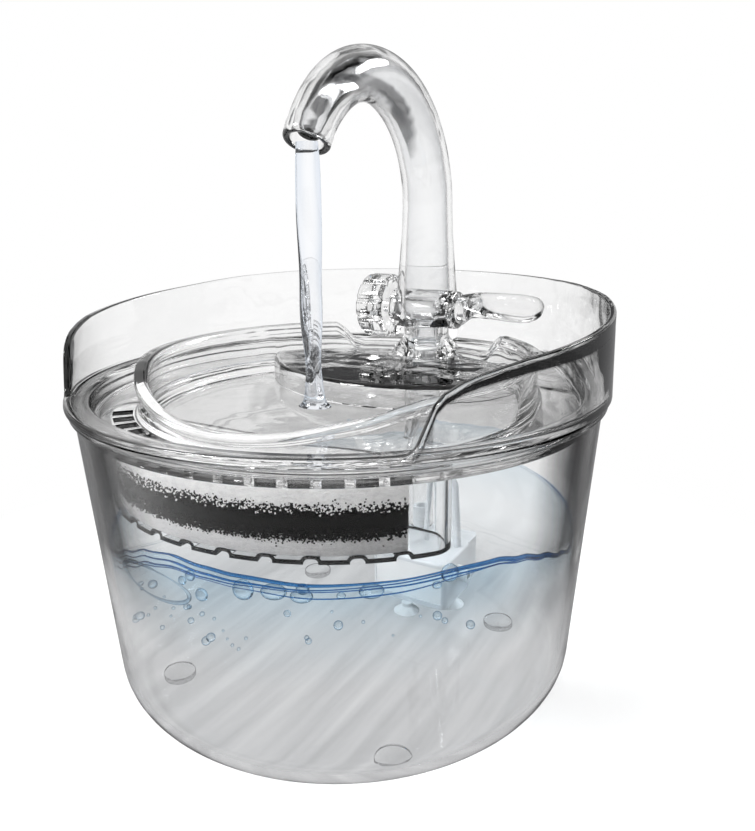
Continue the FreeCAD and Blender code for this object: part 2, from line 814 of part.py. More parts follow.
def make_cover():
    """Impeller chamber bolted behind the housing, with the outlet nozzle at one side."""
    body = new_body("pump_chamber")
    half = size("pump_width") / 2 - 1
    centre = size("pump_centre_x")
    front = size("pump_front") + size("pump_depth") + 0.1
    back = front + size("volute_depth")
    low = size("pump_base") + 1.6
    high = size("pump_base") + size("pump_height") - 1.0
    box_feature(body, "chamber_block", (centre - half, centre + half), (front, back), (low, high))
    soften(body, "chamber_corners", 3.4, lambda e: upright_edge(e)
           and e.BoundBox.YMin > float(back) - 0.1)
    nozzle_sketch = new_sketch(body, "nozzle_plan", "XY_Plane", lift=high - 1)
    circle(nozzle_sketch, 0, size("socket_setback"), size("outlet_radius"))
    pad(body, "nozzle", nozzle_sketch, size("outlet_top") - high + 1)
    chamber = new_sketch(body, "chamber_view", "XZ_Plane", lift=-front + 1)
    circle(chamber, centre, size("rotor_height"), size("chamber_radius"))
    pocket(body, "chamber", chamber, size("volute_depth") - 1)
    outlet = new_sketch(body, "outlet_plan", "XY_Plane", lift=size("rotor_height") - 1)
    circle(outlet, 0, size("socket_setback"), size("outlet_radius") - 1.3)
    pocket(body, "outlet_way", outlet, 40.0, reversed_side=True)
    throat = (size("rotor_height") + 2.0, size("rotor_height") + 6.6)
    box_feature(body, "throat", (size("outlet_radius") - 7.0, centre),
                (size("socket_setback") - 3.0, size("socket_setback") + 3.0), throat, cut=True)
    inlet = new_sketch(body, "inlet_view", "XZ_Plane", lift=-back - 1)
    circle(inlet, centre, size("rotor_height"), 3.2)
    pocket(body, "inlet_eye", inlet, 6.0, reversed_side=True)
    return body


def make_intake():
    """Round slotted strainer cap over the inlet eye."""
    body = new_body("pump_intake_cap")
    radius = size("intake_radius")
    depth = size("intake_depth")
    revolve(body, "cap", [
        (0, depth - 1.2),
        (radius - 1.4, depth - 1.2),
        (radius - 1.4, 0),
        (radius, 0),
        (radius, depth - 1.2),
        (radius - 1.2, depth),
        (0, depth),
    ])
    slots = new_sketch(body, "slot_plan", "XY_Plane", lift=depth + 1)
    for column in range(-2, 3):
        x = column * 3.0
        reach = math.sqrt(7.4 ** 2 - x * x)
        outline(slots, [(x - 0.7, -reach), (x + 0.7, -reach), (x + 0.7, reach), (x - 0.7, reach)])
    pocket(body, "slots", slots, depth)
    return body


def disc(name, radius, length, bore=None):
    """A plain turned piece on the Z axis."""
    body = new_body(name)
    sketch = new_sketch(body, name + "_plan", "XY_Plane")
    circle(sketch, 0, 0, radius)
    if bore is not None:
        circle(sketch, 0, 0, bore)
    pad(body, name + "_length", sketch, length)
    return body


def make_impeller():
    """Four straight blades on a hub behind the magnet."""
    body = new_body("impeller")
    sketch = new_sketch(body, "impeller_hub_plan", "XY_Plane")
    circle(sketch, 0, 0, 3.0)
    circle(sketch, 0, 0, 1.06)
    pad(body, "impeller_hub", sketch, 7.0)
    blade_sketch = new_sketch(body, "blade_plan", "XY_Plane")
    outline(blade_sketch, [(2.5, -0.5), (6.7, -0.5), (6.7, 0.5), (2.5, 0.5)])
    blade = pad(body, "blade", blade_sketch, 6.0)
    repeat_round(body, "blades", blade, 6)
    return body


def make_cups():
    """Four suction cups: a flared skirt, a neck and a button held in the pump's base."""
    body = new_body("suction_cups")
    floor = size("foot_height") + TANK_FLOOR_THICKNESS
    sketch = new_sketch(body, "cup_view", "XZ_Plane")
    spread = 14.0
    top = size("pump_base")
    outline(sketch, [
        (spread, floor + 0.9),
        (spread + 4.6, floor),
        (spread + 5.4, floor),
        (spread + 2.2, top - 1.4),
        (spread + 2.2, top),
        (spread, top),
    ])
    sketch.addGeometry(Part.LineSegment(Vector(spread, 0, 0), Vector(spread, 20, 0)), True)
    cup = body.newObject("PartDesign::Revolution", "cup")
    cup.Profile = sketch
    cup.ReferenceAxis = (sketch, ["Axis0"])
    cup.Angle = 360.0
    doc.recompute()
    repeat_round(body, "four_cups", cup, 4)
    return body


def make_bail():
    """White lifting bail: a round bar bent to a narrow arch, with a pin foot on each leg."""
    body = new_body("pump_bail")
    base = size("pump_base") + size("pump_height")
    half = size("bail_spread") / 2
    top = size("bail_top") - size("bail_radius")
    neck = 5.2
    spine = new_sketch(body, "bail_line", "XZ_Plane")
    shoulder = top - neck
    lean = math.asin((float(half) - neck) / (float(shoulder) - float(base)))
    meet = Vector(neck * math.cos(lean), float(shoulder) + neck * math.sin(lean), 0)
    left = spine.addGeometry(Part.LineSegment(
        Vector(-float(half), float(base), 0), Vector(-meet.x, meet.y, 0)), False)
    arch = spine.addGeometry(Part.ArcOfCircle(
        Part.Circle(Vector(0, float(shoulder), 0), Vector(0, 0, 1), neck),
        lean, math.pi - lean), False)
    right = spine.addGeometry(Part.LineSegment(
        meet, Vector(float(half), float(base), 0)), False)
    spine.addConstraint(Sketcher.Constraint("Tangent", left, 2, arch, 2))
    spine.addConstraint(Sketcher.Constraint("Tangent", arch, 1, right, 1))
    spine.addConstraint(Sketcher.Constraint("Radius", arch, neck))
    fix(spine, "DistanceX", left, 1, -half)
    fix(spine, "DistanceY", left, 1, base)
    fix(spine, "DistanceX", right, 2, half)
    fix(spine, "DistanceY", right, 2, base)
    fix(spine, "DistanceX", arch, 3, 0)
    fix(spine, "DistanceY", arch, 3, shoulder)
    foot = new_sketch(body, "bail_section", "XY_Plane", lift=base)
    circle(foot, -half, 0, size("bail_radius"))
    pipe = body.newObject("PartDesign::AdditivePipe", "bail_bar")
    pipe.Profile = foot
    pipe.Spine = (spine, ["Edge1", "Edge2", "Edge3"])
    doc.recompute()
    return body


def make_stator():
    """Laminated core bar, its coil and the resin that seals them in the front pocket."""
    half = size("pump_width") / 2 - 2
    front = size("pump_front")
    base = size("pump_base")
    centre = size("pump_centre_x")
    core = new_body("stator_core")
    box_feature(core, "core_bar", (centre - half + 1, centre + half - 1), (front + 2.5, front + 6.5),
                (base + 7, base + 13))
    coil = new_body("stator_coil")
    box_feature(coil, "winding", (centre - 8, centre + 8), (front + 1, front + 7.4),
                (base + 4, base + 16))
    box_feature(coil, "core_room", (centre - 9, centre + 9), (front + 2.5, front + 6.5),
                (base + 7, base + 13), cut=True)
    fill = new_body("resin_block")
    box_feature(fill, "fill", (centre - half, centre + half), (front + 0.4, front + 7.5),
                (base + 2, base + size("pump_height") - 2))
    sealed = doc.addObject("Part::Cut", "resin_less_core")
    sealed.Base = fill
    sealed.Tool = core
    resin = doc.addObject("Part::Cut", "potting_resin")
    resin.Base = sealed
    resin.Tool = coil
    resin.Label = "potting_resin"
    return [core, coil, resin]


def place(thing, x=None, y=None, z=None):
    """Tie where a finished piece stands to the sheet."""
    for axis, value in (("x", x), ("y", y), ("z", z)):
        if isinstance(value, Size):
            thing.setExpression(f"Placement.Base.{axis}", value.formula)


tank = make_tank()
feet = make_feet(tank)
lid = make_lid()
box = make_filter_box()
floor_of_box = size("box_bottom") + size("box_wall") + 0.1
base_layer = make_media("filter_base_layer", floor_of_box, size("carbon_bottom"))
carbon = make_media("filter_carbon", size("carbon_bottom"), size("cotton_bottom"))
cotton = make_media("filter_cotton", size("cotton_bottom"), size("cotton_top"),
                    raised=size("box_outer_top") - 0.4)

setback = size("socket_setback")
spout = make_spout()
place(spout, y=setback)
seal = make_seal()
place(seal, y=setback, z=size("spigot_bottom") + 6.9)

spindle = make_spindle()
place(spindle, y=setback, z=size("handle_height"))
knob = make_knob()
place(knob, y=setback, z=size("handle_height"))
lever = make_lever()
lever.Placement = Placement(Vector(0, 0, 0), Rotation(Vector(1, 0, 0), float(size("lever_tilt"))))
place(lever, y=setback, z=size("handle_height"))

housing = make_housing()
chamber = make_cover()
back_of_pump = size("pump_front") + size("pump_depth") + size("volute_depth") + 0.1
facing_back = Rotation(Vector(1, 0, 0), -90)


def on_rotor_axis(thing, y):
    """Lay a turned piece along the rotor's axis, starting this far back."""
    thing.Placement = Placement(Vector(0, 0, 0), facing_back)
    place(thing, x=size("pump_centre_x"), y=y, z=size("rotor_height"))
    return thing


intake = on_rotor_axis(make_intake(), back_of_pump)
foam = on_rotor_axis(disc("pump_intake_foam", size("intake_radius") - 1.6, 2.2), back_of_pump + 0.2)
well_bottom = size("pump_front") + size("pump_depth") - 17
magnet = on_rotor_axis(disc("rotor_magnet", 6.6, 14.0, bore=1.06), well_bottom + 1.5)
impeller = on_rotor_axis(make_impeller(), well_bottom + 15.6 + 1.2)
shaft = on_rotor_axis(disc("impeller_shaft", 1.0, 24.0), well_bottom + 0.2)
front_bush = on_rotor_axis(disc("shaft_bush", 2.2, 1.0, bore=1.0), well_bottom + 0.1)
stator = make_stator()

cups = make_cups()
place(cups, x=size("pump_centre_x"), y=size("pump_front") + size("pump_depth") / 2)
bail = make_bail()
place(bail, x=size("pump_centre_x") + size("bail_offset"), y=size("pump_front") + 19)

gland = disc("cord_gland", 3.2, 5.0, bore=1.7)
gland.Placement = Placement(Vector(0, 0, 0), Rotation(Vector(0, 1, 0), 90))
place(gland, x=size("pump_centre_x") + size("pump_width") / 2, y=size("pump_front") + 12,
      z=size("pump_base") + 12)

riser = disc("riser_tube", size("riser_radius"), size("riser_top") - 29,
             bore=size("outlet_radius") + FIT_CLEARANCE)
place(riser, y=setback, z=size("outlet_top") - 9)

doc.recompute()

pieces = [
    tank, feet, lid, box, base_layer, carbon, cotton, spout, seal, spindle, knob, lever,
    housing, chamber, intake, foam, magnet, impeller, shaft, front_bush, *stator,
    cups, bail, gland, riser,
]

for thing in doc.Objects:
    if "Invalid" in thing.State or "Error" in thing.State:
        raise ValueError(f"{thing.Name} did not build: {thing.State}")
for piece in pieces:
    if piece.Shape.isNull() or not piece.Shape.isValid():
        raise ValueError(f"{piece.Label} has no valid shape")

os.makedirs("parts", exist_ok=True)
for piece in pieces:
    piece.Shape.exportStep(f"parts/{piece.Label}.step")
    print(piece.Label, len(piece.Shape.Solids), round(piece.Shape.Volume, 1))
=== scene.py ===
import math
import random

import bmesh
import bpy
from mathutils import Matrix, Vector


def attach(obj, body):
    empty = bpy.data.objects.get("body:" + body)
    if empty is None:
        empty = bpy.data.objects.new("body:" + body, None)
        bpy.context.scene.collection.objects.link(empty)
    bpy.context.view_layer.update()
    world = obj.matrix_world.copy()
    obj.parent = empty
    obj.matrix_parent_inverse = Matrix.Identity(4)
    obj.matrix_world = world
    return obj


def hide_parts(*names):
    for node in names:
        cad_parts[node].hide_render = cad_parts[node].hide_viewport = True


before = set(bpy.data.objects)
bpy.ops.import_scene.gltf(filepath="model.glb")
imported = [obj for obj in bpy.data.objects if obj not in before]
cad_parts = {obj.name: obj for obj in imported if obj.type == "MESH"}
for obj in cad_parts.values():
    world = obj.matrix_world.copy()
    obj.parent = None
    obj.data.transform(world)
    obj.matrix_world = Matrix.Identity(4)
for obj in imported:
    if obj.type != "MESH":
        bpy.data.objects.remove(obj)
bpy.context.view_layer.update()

# Studio
# A white room. The camera stands at the photograph's height, a third of a turn to the right of
# the drinking side, and looks a little down on the lid.
MM = 0.001
scene = bpy.context.scene
scene.view_settings.view_transform = "Standard"
BOUNCES_THROUGH_WALLS = 24
scene.cycles.max_bounces = BOUNCES_THROUGH_WALLS
scene.cycles.transmission_bounces = BOUNCES_THROUGH_WALLS
scene.cycles.transparent_max_bounces = BOUNCES_THROUGH_WALLS

camera_data = bpy.data.cameras.new("camera")
camera_data.lens = 32.9
camera_data.sensor_width = 36.0
camera_data.clip_start = 0.01
camera = bpy.data.objects.new("camera", camera_data)
scene.collection.objects.link(camera)
CAMERA_PLACE = Vector((0.1417, -0.2182, 0.1696))
CAMERA_AZIMUTH = math.radians(33.0 - 2.728)
CAMERA_PITCH = math.radians(15.935)
CAMERA_ROLL = math.radians(0.517)
facing = (Matrix.Rotation(CAMERA_AZIMUTH, 4, "Z") @ Matrix.Rotation(math.pi / 2 - CAMERA_PITCH, 4, "X")
          @ Matrix.Rotation(-CAMERA_ROLL, 4, "Z"))
camera.matrix_world = Matrix.Translation(CAMERA_PLACE) @ facing
scene.camera = camera


def new_tree(holder):
    """The emptied node tree of a material or world."""
    holder.use_nodes = True
    holder.node_tree.nodes.clear()
    return holder.node_tree


def new_material(name):
    material = bpy.data.materials.new(name)
    return material, new_tree(material)


def add_node(tree, kind, inputs=None, **settings):
    """A node with its settings; an input takes a value, a socket or a node's first output."""
    named_in_full = kind.startswith(("GeometryNode", "FunctionNode", "NodeGroup"))
    node = tree.nodes.new(kind if named_in_full else "ShaderNode" + kind)
    for label, value in settings.items():
        setattr(node, label, value)
    for socket, value in (inputs or {}).items():
        if isinstance(value, bpy.types.Node):
            value = value.outputs[0]
        if isinstance(value, bpy.types.NodeSocket):
            tree.links.new(value, node.inputs[socket])
        else:
            node.inputs[socket].default_value = value
    return node


def add_ramp(tree, stops, source):
    """A colour ramp over a socket; a stop's colour may be one grey value."""
    ramp = add_node(tree, "ValToRGB", {0: source})
    while len(ramp.color_ramp.elements) < len(stops):
        ramp.color_ramp.elements.new(0.5)
    for element, (place, colour) in zip(ramp.color_ramp.elements, stops):
        element.position = place
        element.color = (*(colour if isinstance(colour, tuple) else (colour,) * 3), 1.0)
    return ramp


def maths(tree, operation, *values):
    """The result of a maths node on values and sockets."""
    return add_node(tree, "Math", dict(enumerate(values)), operation=operation).outputs[0]


def blend(tree, factor, first, second, **settings):
    """The mixed colour of two colours or sockets."""
    return add_node(tree, "Mix", {0: factor, 6: first, 7: second}, data_type="RGBA", **settings).outputs[2]


def mix_shaders(tree, factor, first, second):
    return add_node(tree, "MixShader", {0: factor, 1: first, 2: second})


def object_place(tree):
    return add_node(tree, "TexCoord").outputs["Object"]


def object_axis(tree, axis):
    return add_node(tree, "SeparateXYZ", {0: object_place(tree)}).outputs[axis]


def stretch_range(tree, value, low, high, to_low=0.0, to_high=1.0):
    """A value's place between two limits, kept inside them."""
    return add_node(tree, "MapRange", {
        "Value": value, "From Min": low, "From Max": high, "To Min": to_low, "To Max": to_high,
    }).outputs["Result"]


def dark_stretch(tree, bearing, dark):
    """White all the way round but for the dark stretch behind the right wall."""
    share = maths(tree, "ADD", maths(tree, "MULTIPLY", bearing, 0.5 / math.pi), 0.5)
    return add_ramp(tree, [(0.0, 1.0), (0.545, 1.0), (0.565, dark), (0.640, dark), (0.660, 1.0)], share)


WHITE = (1.0, 1.0, 1.0, 1.0)

# The room as gloss and clear walls see it: white at eye level, with grey window frames above.
world = bpy.data.worlds.new("white_room")
scene.world = world
tree = new_tree(world)
split = add_node(tree, "SeparateXYZ", {0: add_node(tree, "TexCoord").outputs["Generated"]})
height_ramp = add_ramp(tree, [
    (0.0, 0.62), (0.30, 0.80), (0.42, 1.0), (0.56, 1.0), (0.59, (0.10, 0.10, 0.105)),
    (0.67, (0.03, 0.03, 0.035)), (0.71, 0.90), (0.78, 1.0), (0.81, 0.08), (0.90, 0.05), (0.93, 0.75),
    (1.0, 0.45)], maths(tree, "MULTIPLY_ADD", split.outputs["Z"], 0.5, 0.5))
around = maths(tree, "ARCTAN2", split.outputs["Y"], split.outputs["X"])
panes = maths(tree, "SINE", maths(tree, "MULTIPLY", around, 7.0))
pane_ramp = add_ramp(tree, [(0.40, 1.0), (0.52, 0.12)],
                     maths(tree, "ADD", maths(tree, "MULTIPLY", panes, 0.5), 0.5))
framed = blend(tree, pane_ramp, height_ramp, WHITE)
curtained = blend(tree, 1.0, framed, dark_stretch(tree, around, 0.03), blend_type="MULTIPLY")
path = add_node(tree, "LightPath")
gloss_or_clear = maths(tree, "MAXIMUM", path.outputs["Is Glossy Ray"],
                       path.outputs["Is Transmission Ray"])
room_seen = blend(tree, gloss_or_clear, (0.84, 0.84, 0.84, 1.0), curtained)
seen = blend(tree, path.outputs["Is Camera Ray"], room_seen, WHITE)
add_node(tree, "OutputWorld", {0: add_node(tree, "Background", {"Color": seen})})


def mesh_object(name, mesh_builder, smooth_angle=35.0):
    """A new object at the origin from a finished bmesh, with smooth faces and kept creases."""
    mesh = bpy.data.meshes.new(name)
    mesh_builder.to_mesh(mesh)
    mesh_builder.free()
    for polygon in mesh.polygons:
        polygon.use_smooth = True
    mesh.set_sharp_from_angle(angle=math.radians(smooth_angle))
    made = bpy.data.objects.new(name, mesh)
    scene.collection.objects.link(made)
    return made


# Floor: a white table that keeps the object's soft shadow and turns to plain white further out.
floor_builder = bmesh.new()
bmesh.ops.create_circle(floor_builder, cap_ends=True, radius=3.0, segments=96)
floor = mesh_object("floor", floor_builder)
floor_material, tree = new_material("white_table")
place = object_place(tree)
distance = add_node(tree, "VectorMath", {0: place}, operation="LENGTH").outputs["Value"]
fade = maths(tree, "MAXIMUM", stretch_range(tree, distance, 0.08, 0.24), 0.45)
table = add_node(tree, "BsdfDiffuse", {"Color": (0.96, 0.96, 0.96, 1.0)})
white = add_node(tree, "Emission", {"Color": WHITE})
shade = mix_shaders(tree, fade, table, white)
# Seen through the clear walls and in their reflections, the floor is painted rather than lit: under the
# object a streaky grey, part table grain and part painted shade, beyond it the painted dark stretch, and
# in reflections a dim painted grey.
slant = add_node(tree, "Mapping", {
    "Rotation": (0.0, 0.0, math.radians(38.0)), "Scale": (15.0, 1.2, 1.0), "Vector": place})
streaks = add_node(tree, "TexNoise", {"Scale": 9.0, "Detail": 5.0, "Vector": slant})
grain_and_shade_ramp = add_ramp(tree, [(0.30, (0.56, 0.56, 0.565)), (0.50, (0.66, 0.66, 0.665)), (0.70, 0.76)],
                      streaks)
table_split = add_node(tree, "SeparateXYZ", {0: place})
bearing = maths(tree, "ARCTAN2", table_split.outputs["Y"], table_split.outputs["X"])
beyond = stretch_range(tree, distance, 0.085, 0.150)
through_table = blend(tree, beyond, grain_and_shade_ramp, dark_stretch(tree, bearing, 0.05))
path = add_node(tree, "LightPath")
mirrored = maths(tree, "SUBTRACT", path.outputs["Is Glossy Ray"], path.outputs["Is Transmission Ray"])
dimmed = blend(tree, mirrored, through_table, (0.30, 0.30, 0.305, 1.0))
seen_through = add_node(tree, "Emission", {"Color": dimmed})
clear_or_gloss = maths(tree, "MAXIMUM", path.outputs["Is Glossy Ray"],
                       path.outputs["Is Transmission Ray"])
direct = mix_shaders(tree, path.outputs["Is Camera Ray"], table, shade)
add_node(tree, "OutputMaterial", {0: mix_shaders(tree, clear_or_gloss, direct, seen_through)})
floor.data.materials.append(floor_material)


def add_lamp(name, place, aim, size, power):
    lamp_data = bpy.data.lights.new(name, "AREA")
    lamp_data.shape = "DISK"
    lamp_data.size = size
    lamp_data.energy = power
    lamp = bpy.data.objects.new(name, lamp_data)
    scene.collection.objects.link(lamp)
    lamp.location = place
    lamp.rotation_euler = (Vector(aim) - Vector(place)).to_track_quat("-Z", "Y").to_euler()
    return lamp


OBJECT_MIDDLE = (0.0, 0.0, 0.10)
add_lamp("key_lamp", (-0.7, -0.9, 1.1), OBJECT_MIDDLE, 0.5, 16.0)
add_lamp("back_lamp", (0.6, 0.9, 0.8), OBJECT_MIDDLE, 0.4, 5.0)

# Tank
# The bowl that holds the water: one clear styrene moulding, tapered to leave its mould, with a
# deep round corner below and a rolled rim that the lid stands on.
TANK_TOP = 108.0
TANK_FLOOR = 4.2
TANK_INNER_RIM = 86.3
TANK_INNER_BASE = 79.2
TANK_INNER_CORNER = 13.7
SEAM = 1e-7


def rounded(corners, steps=8):
    """Turn (radius, height, rounding) corners into a smooth line with an arc at each corner."""
    points = []
    count = len(corners)
    for index, (r, z, rounding) in enumerate(corners):
        here = Vector((r, z))
        before = Vector(corners[index - 1][:2]) - here
        after = Vector(corners[(index + 1) % count][:2]) - here
        if rounding <= 0.0 or before.length < 1e-6 or after.length < 1e-6:
            points.append(here)
            continue
        half_turn = before.angle(after, math.pi) / 2
        reach = min(rounding / math.tan(half_turn), before.length * 0.49, after.length * 0.49)
        radius = reach * math.tan(half_turn)
        start = before.normalized() * reach + here
        bisector = before.normalized() + after.normalized()
        if bisector.length < 1e-6:
            points.append(here)
            continue
        centre = here + bisector.normalized() * (radius / math.sin(half_turn))
        first = start - centre
        swing = math.pi - 2 * half_turn
        side = 1.0 if before.x * after.y - before.y * after.x < 0 else -1.0
        for step in range(steps + 1):
            angle = side * swing * step / steps
            turned = Vector((first.x * math.cos(angle) - first.y * math.sin(angle),
                             first.x * math.sin(angle) + first.y * math.cos(angle)))
            points.append(centre + turned)
    return points


def add_ring(builder, points):
    """A vertex for each (x, y, z) in mm."""
    return [builder.verts.new((x * MM, y * MM, z * MM)) for x, y, z in points]


def full_turn(count):
    """Equally spaced angles once round."""
    return [2 * math.pi * index / count for index in range(count)]


def bridge(builder, rings, loop=False):
    """Faces from each ring of vertices to the next; loop joins the last ring to the first."""
    for ring, following in zip(rings, rings[1:] + (rings[:1] if loop else [])):
        for index in range(len(ring)):
            onward = (index + 1) % len(ring)
            builder.faces.new((ring[index], ring[onward], following[onward], following[index]))


def facing_out(builder):
    bmesh.ops.recalc_face_normals(builder, faces=builder.faces)
    return builder


def turned_surface(line, segments, centre=(0.0, 0.0)):
    """Sweep a closed (radius, height) line in mm round Z; line may be a function of the angle."""
    builder = bmesh.new()
    rings = []
    for angle in full_turn(segments):
        rings.append(add_ring(builder, [
            (centre[0] + r * math.sin(angle), centre[1] - r * math.cos(angle), z)
            for r, z in (line(angle) if callable(line) else line)]))
    bridge(builder, rings, loop=True)
    bmesh.ops.remove_doubles(builder, verts=builder.verts, dist=SEAM)
    bmesh.ops.dissolve_degenerate(builder, edges=builder.edges, dist=SEAM)
    return facing_out(builder)


# Clear surfaces get painted edge shade: their colour darkens as they turn away from view, standing in for
# the dark reflections at their edges.
CLEAR_STOPS = ((0.0, 0.975), (0.50, 0.93), (0.72, 0.62), (0.88, 0.22))


def edge_ramp(tree, stops):
    """A ramp from the colour face on to a painted darker colour where the surface turns away."""
    return add_ramp(tree, stops, add_node(tree, "LayerWeight", {"Blend": 0.5}).outputs["Facing"])


def clear_output(tree, surface, tint=WHITE):
    """Put a clear surface out; shadow rays pass straight through it."""
    through = add_node(tree, "BsdfTransparent", {"Color": tint})
    shadow = add_node(tree, "LightPath").outputs["Is Shadow Ray"]
    add_node(tree, "OutputMaterial", {0: mix_shaders(tree, shadow, surface, through)})


def clear_plastic(name, edge_shade=0.12, haze=0.0, ripple=0.02, ripple_scale=45.0, stops=CLEAR_STOPS,
                  glint=1.0):
    """Clear moulded plastic: bright face on, painted shade where the wall turns away, slightly rippled."""
    material, tree = new_material(name)
    waves = add_node(tree, "TexNoise", {
        "Scale": ripple_scale, "Detail": 2.0, "Vector": object_place(tree)})
    bump = add_node(tree, "Bump", {"Strength": ripple, "Distance": 0.004, "Height": waves})
    plastic = add_node(tree, "BsdfPrincipled", {
        "Transmission Weight": 1.0, "IOR": 1.49, "Specular Tint": (glint, glint, glint, 1.0),
        "Roughness": haze, "Base Color": edge_ramp(tree, (*stops, (1.0, edge_shade))), "Normal": bump})
    clear_output(tree, plastic, (0.96, 0.96, 0.96, 1.0))
    return material


tank_line = rounded([
    (0.0, 2.0, 0), (81.2, 2.0, 15.7), (88.3, 105.0, 0.8), (90.0, 105.6, 0.7),
    (90.0, TANK_TOP, 1.0), (TANK_INNER_RIM, TANK_TOP, 0.9),
    (TANK_INNER_BASE, TANK_FLOOR, TANK_INNER_CORNER), (0.0, TANK_FLOOR, 0)], steps=10)
tank = mesh_object("tank_shell", turned_surface(tank_line, 256))
tank_plastic = clear_plastic("tank_clear_plastic", edge_shade=0.02, ripple=0.03, ripple_scale=30.0,
                             stops=((0.0, 0.98), (0.44, 0.88), (0.55, 0.34), (0.66, 0.02)), glint=0.10)
# The painted dark edge is lifted below the water line, where water lightens the turned-away walls behind
# it.
tree = tank_plastic.node_tree
colour_input = tree.nodes["Principled BSDF"].inputs["Base Color"]
painted_dark_edge = colour_input.links[0].from_socket
above_water = stretch_range(tree, object_axis(tree, "Z"), 0.045, 0.070)
tree.links.new(blend(tree, above_water, (0.93, 0.935, 0.94, 1.0), painted_dark_edge), colour_input)
tank.data.materials.append(tank_plastic)
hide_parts("water_tank")
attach(tank, "tank")

# Feet
# Four soft clear pads, glued where the flat bottom starts to curve up.
FOOT_RADIUS = 6.0
FOOT_CIRCLE = 63.7
FOOT_HEIGHT = 2.3
foot_plastic = clear_plastic("foot_clear_vinyl", edge_shade=0.25, ripple=0.05)
foot_line = rounded([(0, 0, 0), (FOOT_RADIUS, 0, 0.6), (FOOT_RADIUS, FOOT_HEIGHT, 0.4),
                     (0, FOOT_HEIGHT, 0)], 4)
feet_builder = bmesh.new()
for quarter in range(4):
    angle = math.pi / 4 + quarter * math.pi / 2
    where = (FOOT_CIRCLE * math.cos(angle), FOOT_CIRCLE * math.sin(angle))
    one_foot = turned_surface(foot_line, 48, where)
    foot_mesh = bpy.data.meshes.new("foot")
    one_foot.to_mesh(foot_mesh)
    one_foot.free()
    feet_builder.from_mesh(foot_mesh)
    bpy.data.meshes.remove(foot_mesh)
feet = mesh_object("feet", feet_builder)
feet.data.materials.append(foot_plastic)
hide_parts("foot_pads")
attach(feet, "tank")

# Pump
# A white moulded pump that stands on four suction cups behind the filter, with its lifting bail,
# strainer cap and cable gland. Its motor is potted inside the front half.


def moulded_plastic(name, colour, roughness, grain=0.04, scale=600.0):
    """Opaque moulded or rubbery surface with a fine spark-eroded grain and faint mottling."""
    material, tree = new_material(name)
    place = object_place(tree)
    shade = add_ramp(tree, [
        (0.3, tuple(c * 0.93 for c in colour)), (0.7, tuple(min(1.0, c * 1.03) for c in colour))],
        add_node(tree, "TexNoise", {"Scale": 60.0, "Vector": place}))
    fine = add_node(tree, "TexNoise", {"Scale": scale, "Vector": place})
    bump = add_node(tree, "Bump", {"Strength": grain, "Distance": 0.0005, "Height": fine})
    surface = add_node(tree, "BsdfPrincipled", {
        "Roughness": roughness, "Base Color": shade, "Normal": bump})
    add_node(tree, "OutputMaterial", {0: surface})
    return material


def finish_node(node, material):
    """Give a carried-over piece its material."""
    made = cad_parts[node]
    if not made.material_slots:
        made.data.materials.append(material)
    for slot in made.material_slots:
        slot.material = material


# The pump's white plastic is painted a darker bluish grey: painted shade, so that it reads as shaded
# inside the tank.
white_plastic = moulded_plastic("pump_white_plastic", (0.70, 0.72, 0.74), 0.35)
for node in ("pump_housing", "pump_chamber", "pump_intake_cap", "pump_bail", "impeller"):
    finish_node(node, white_plastic)
silicone = moulded_plastic("pump_silicone", (0.82, 0.83, 0.83), 0.5)
for node in ("suction_cups", "cord_gland", "shaft_bush", "spout_seal_ring"):
    finish_node(node, silicone)
finish_node("pump_intake_foam", moulded_plastic("intake_foam", (0.10, 0.10, 0.10), 0.95, 0.8, 900.0))
finish_node("rotor_magnet", moulded_plastic("ferrite", (0.06, 0.06, 0.065), 0.55, 0.3))
finish_node("stator_core", moulded_plastic("core_steel", (0.32, 0.32, 0.34), 0.4, 0.2))
finish_node("stator_coil", moulded_plastic("coil_copper", (0.62, 0.30, 0.14), 0.35, 0.5, 300.0))
finish_node("potting_resin", moulded_plastic("resin", (0.86, 0.86, 0.86), 0.35))
steel = moulded_plastic("shaft_steel", (0.62, 0.63, 0.65), 0.2, 0.02)
steel.node_tree.nodes["Principled BSDF"].inputs["Metallic"].default_value = 1.0
finish_node("impeller_shaft", steel)

# Riser tube
# A clear soft hose that carries the water from the pump's outlet up to the lid's socket.
SOCKET_Y = 66.0
HOSE_BORE = 4.45
HOSE_RADIUS = 6.45
HOSE_FOOT = 29.0
HOSE_TOP = 79.0
riser_line = rounded([(HOSE_BORE, HOSE_FOOT, 0.3), (HOSE_RADIUS, HOSE_FOOT, 0.4),
                      (HOSE_RADIUS, HOSE_TOP, 0.4), (HOSE_BORE, HOSE_TOP, 0.3)], 3)
riser = mesh_object("riser_hose", turned_surface(riser_line, 64, (0.0, SOCKET_Y)))
riser.data.materials.append(clear_plastic("hose_clear_vinyl", edge_shade=0.3, haze=0.08, ripple=0.06))
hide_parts("riser_tube")
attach(riser, "tank")

# Filter
# A clear crescent tray under the grate, packed with white cotton over black carbon granules.
# It presses onto two pegs below the basin and drains through notches along its foot.
BOX_RADIUS = 79.5
BOX_CHORD = 38.0
BOX_CORNER = 8.0
BOX_BOTTOM = 78.0
BOX_TOP = 100.6
BOX_INNER_TOP = 96.6
BOX_WALL = 1.6
BOX_FLOOR = 0.7
BASIN_RADIUS = 69.1
CARBON_BOTTOM = 85.3
COTTON_BOTTOM = 92.8


def arc(centre, radius, start, swing, steps, picks):
    """Points of an arc in mm, at the picked ones of its equal steps."""
    angles = [start + swing * step / steps for step in picks]
    return [Vector((centre[0] + radius * math.cos(angle), centre[1] + radius * math.sin(angle)))
            for angle in angles]


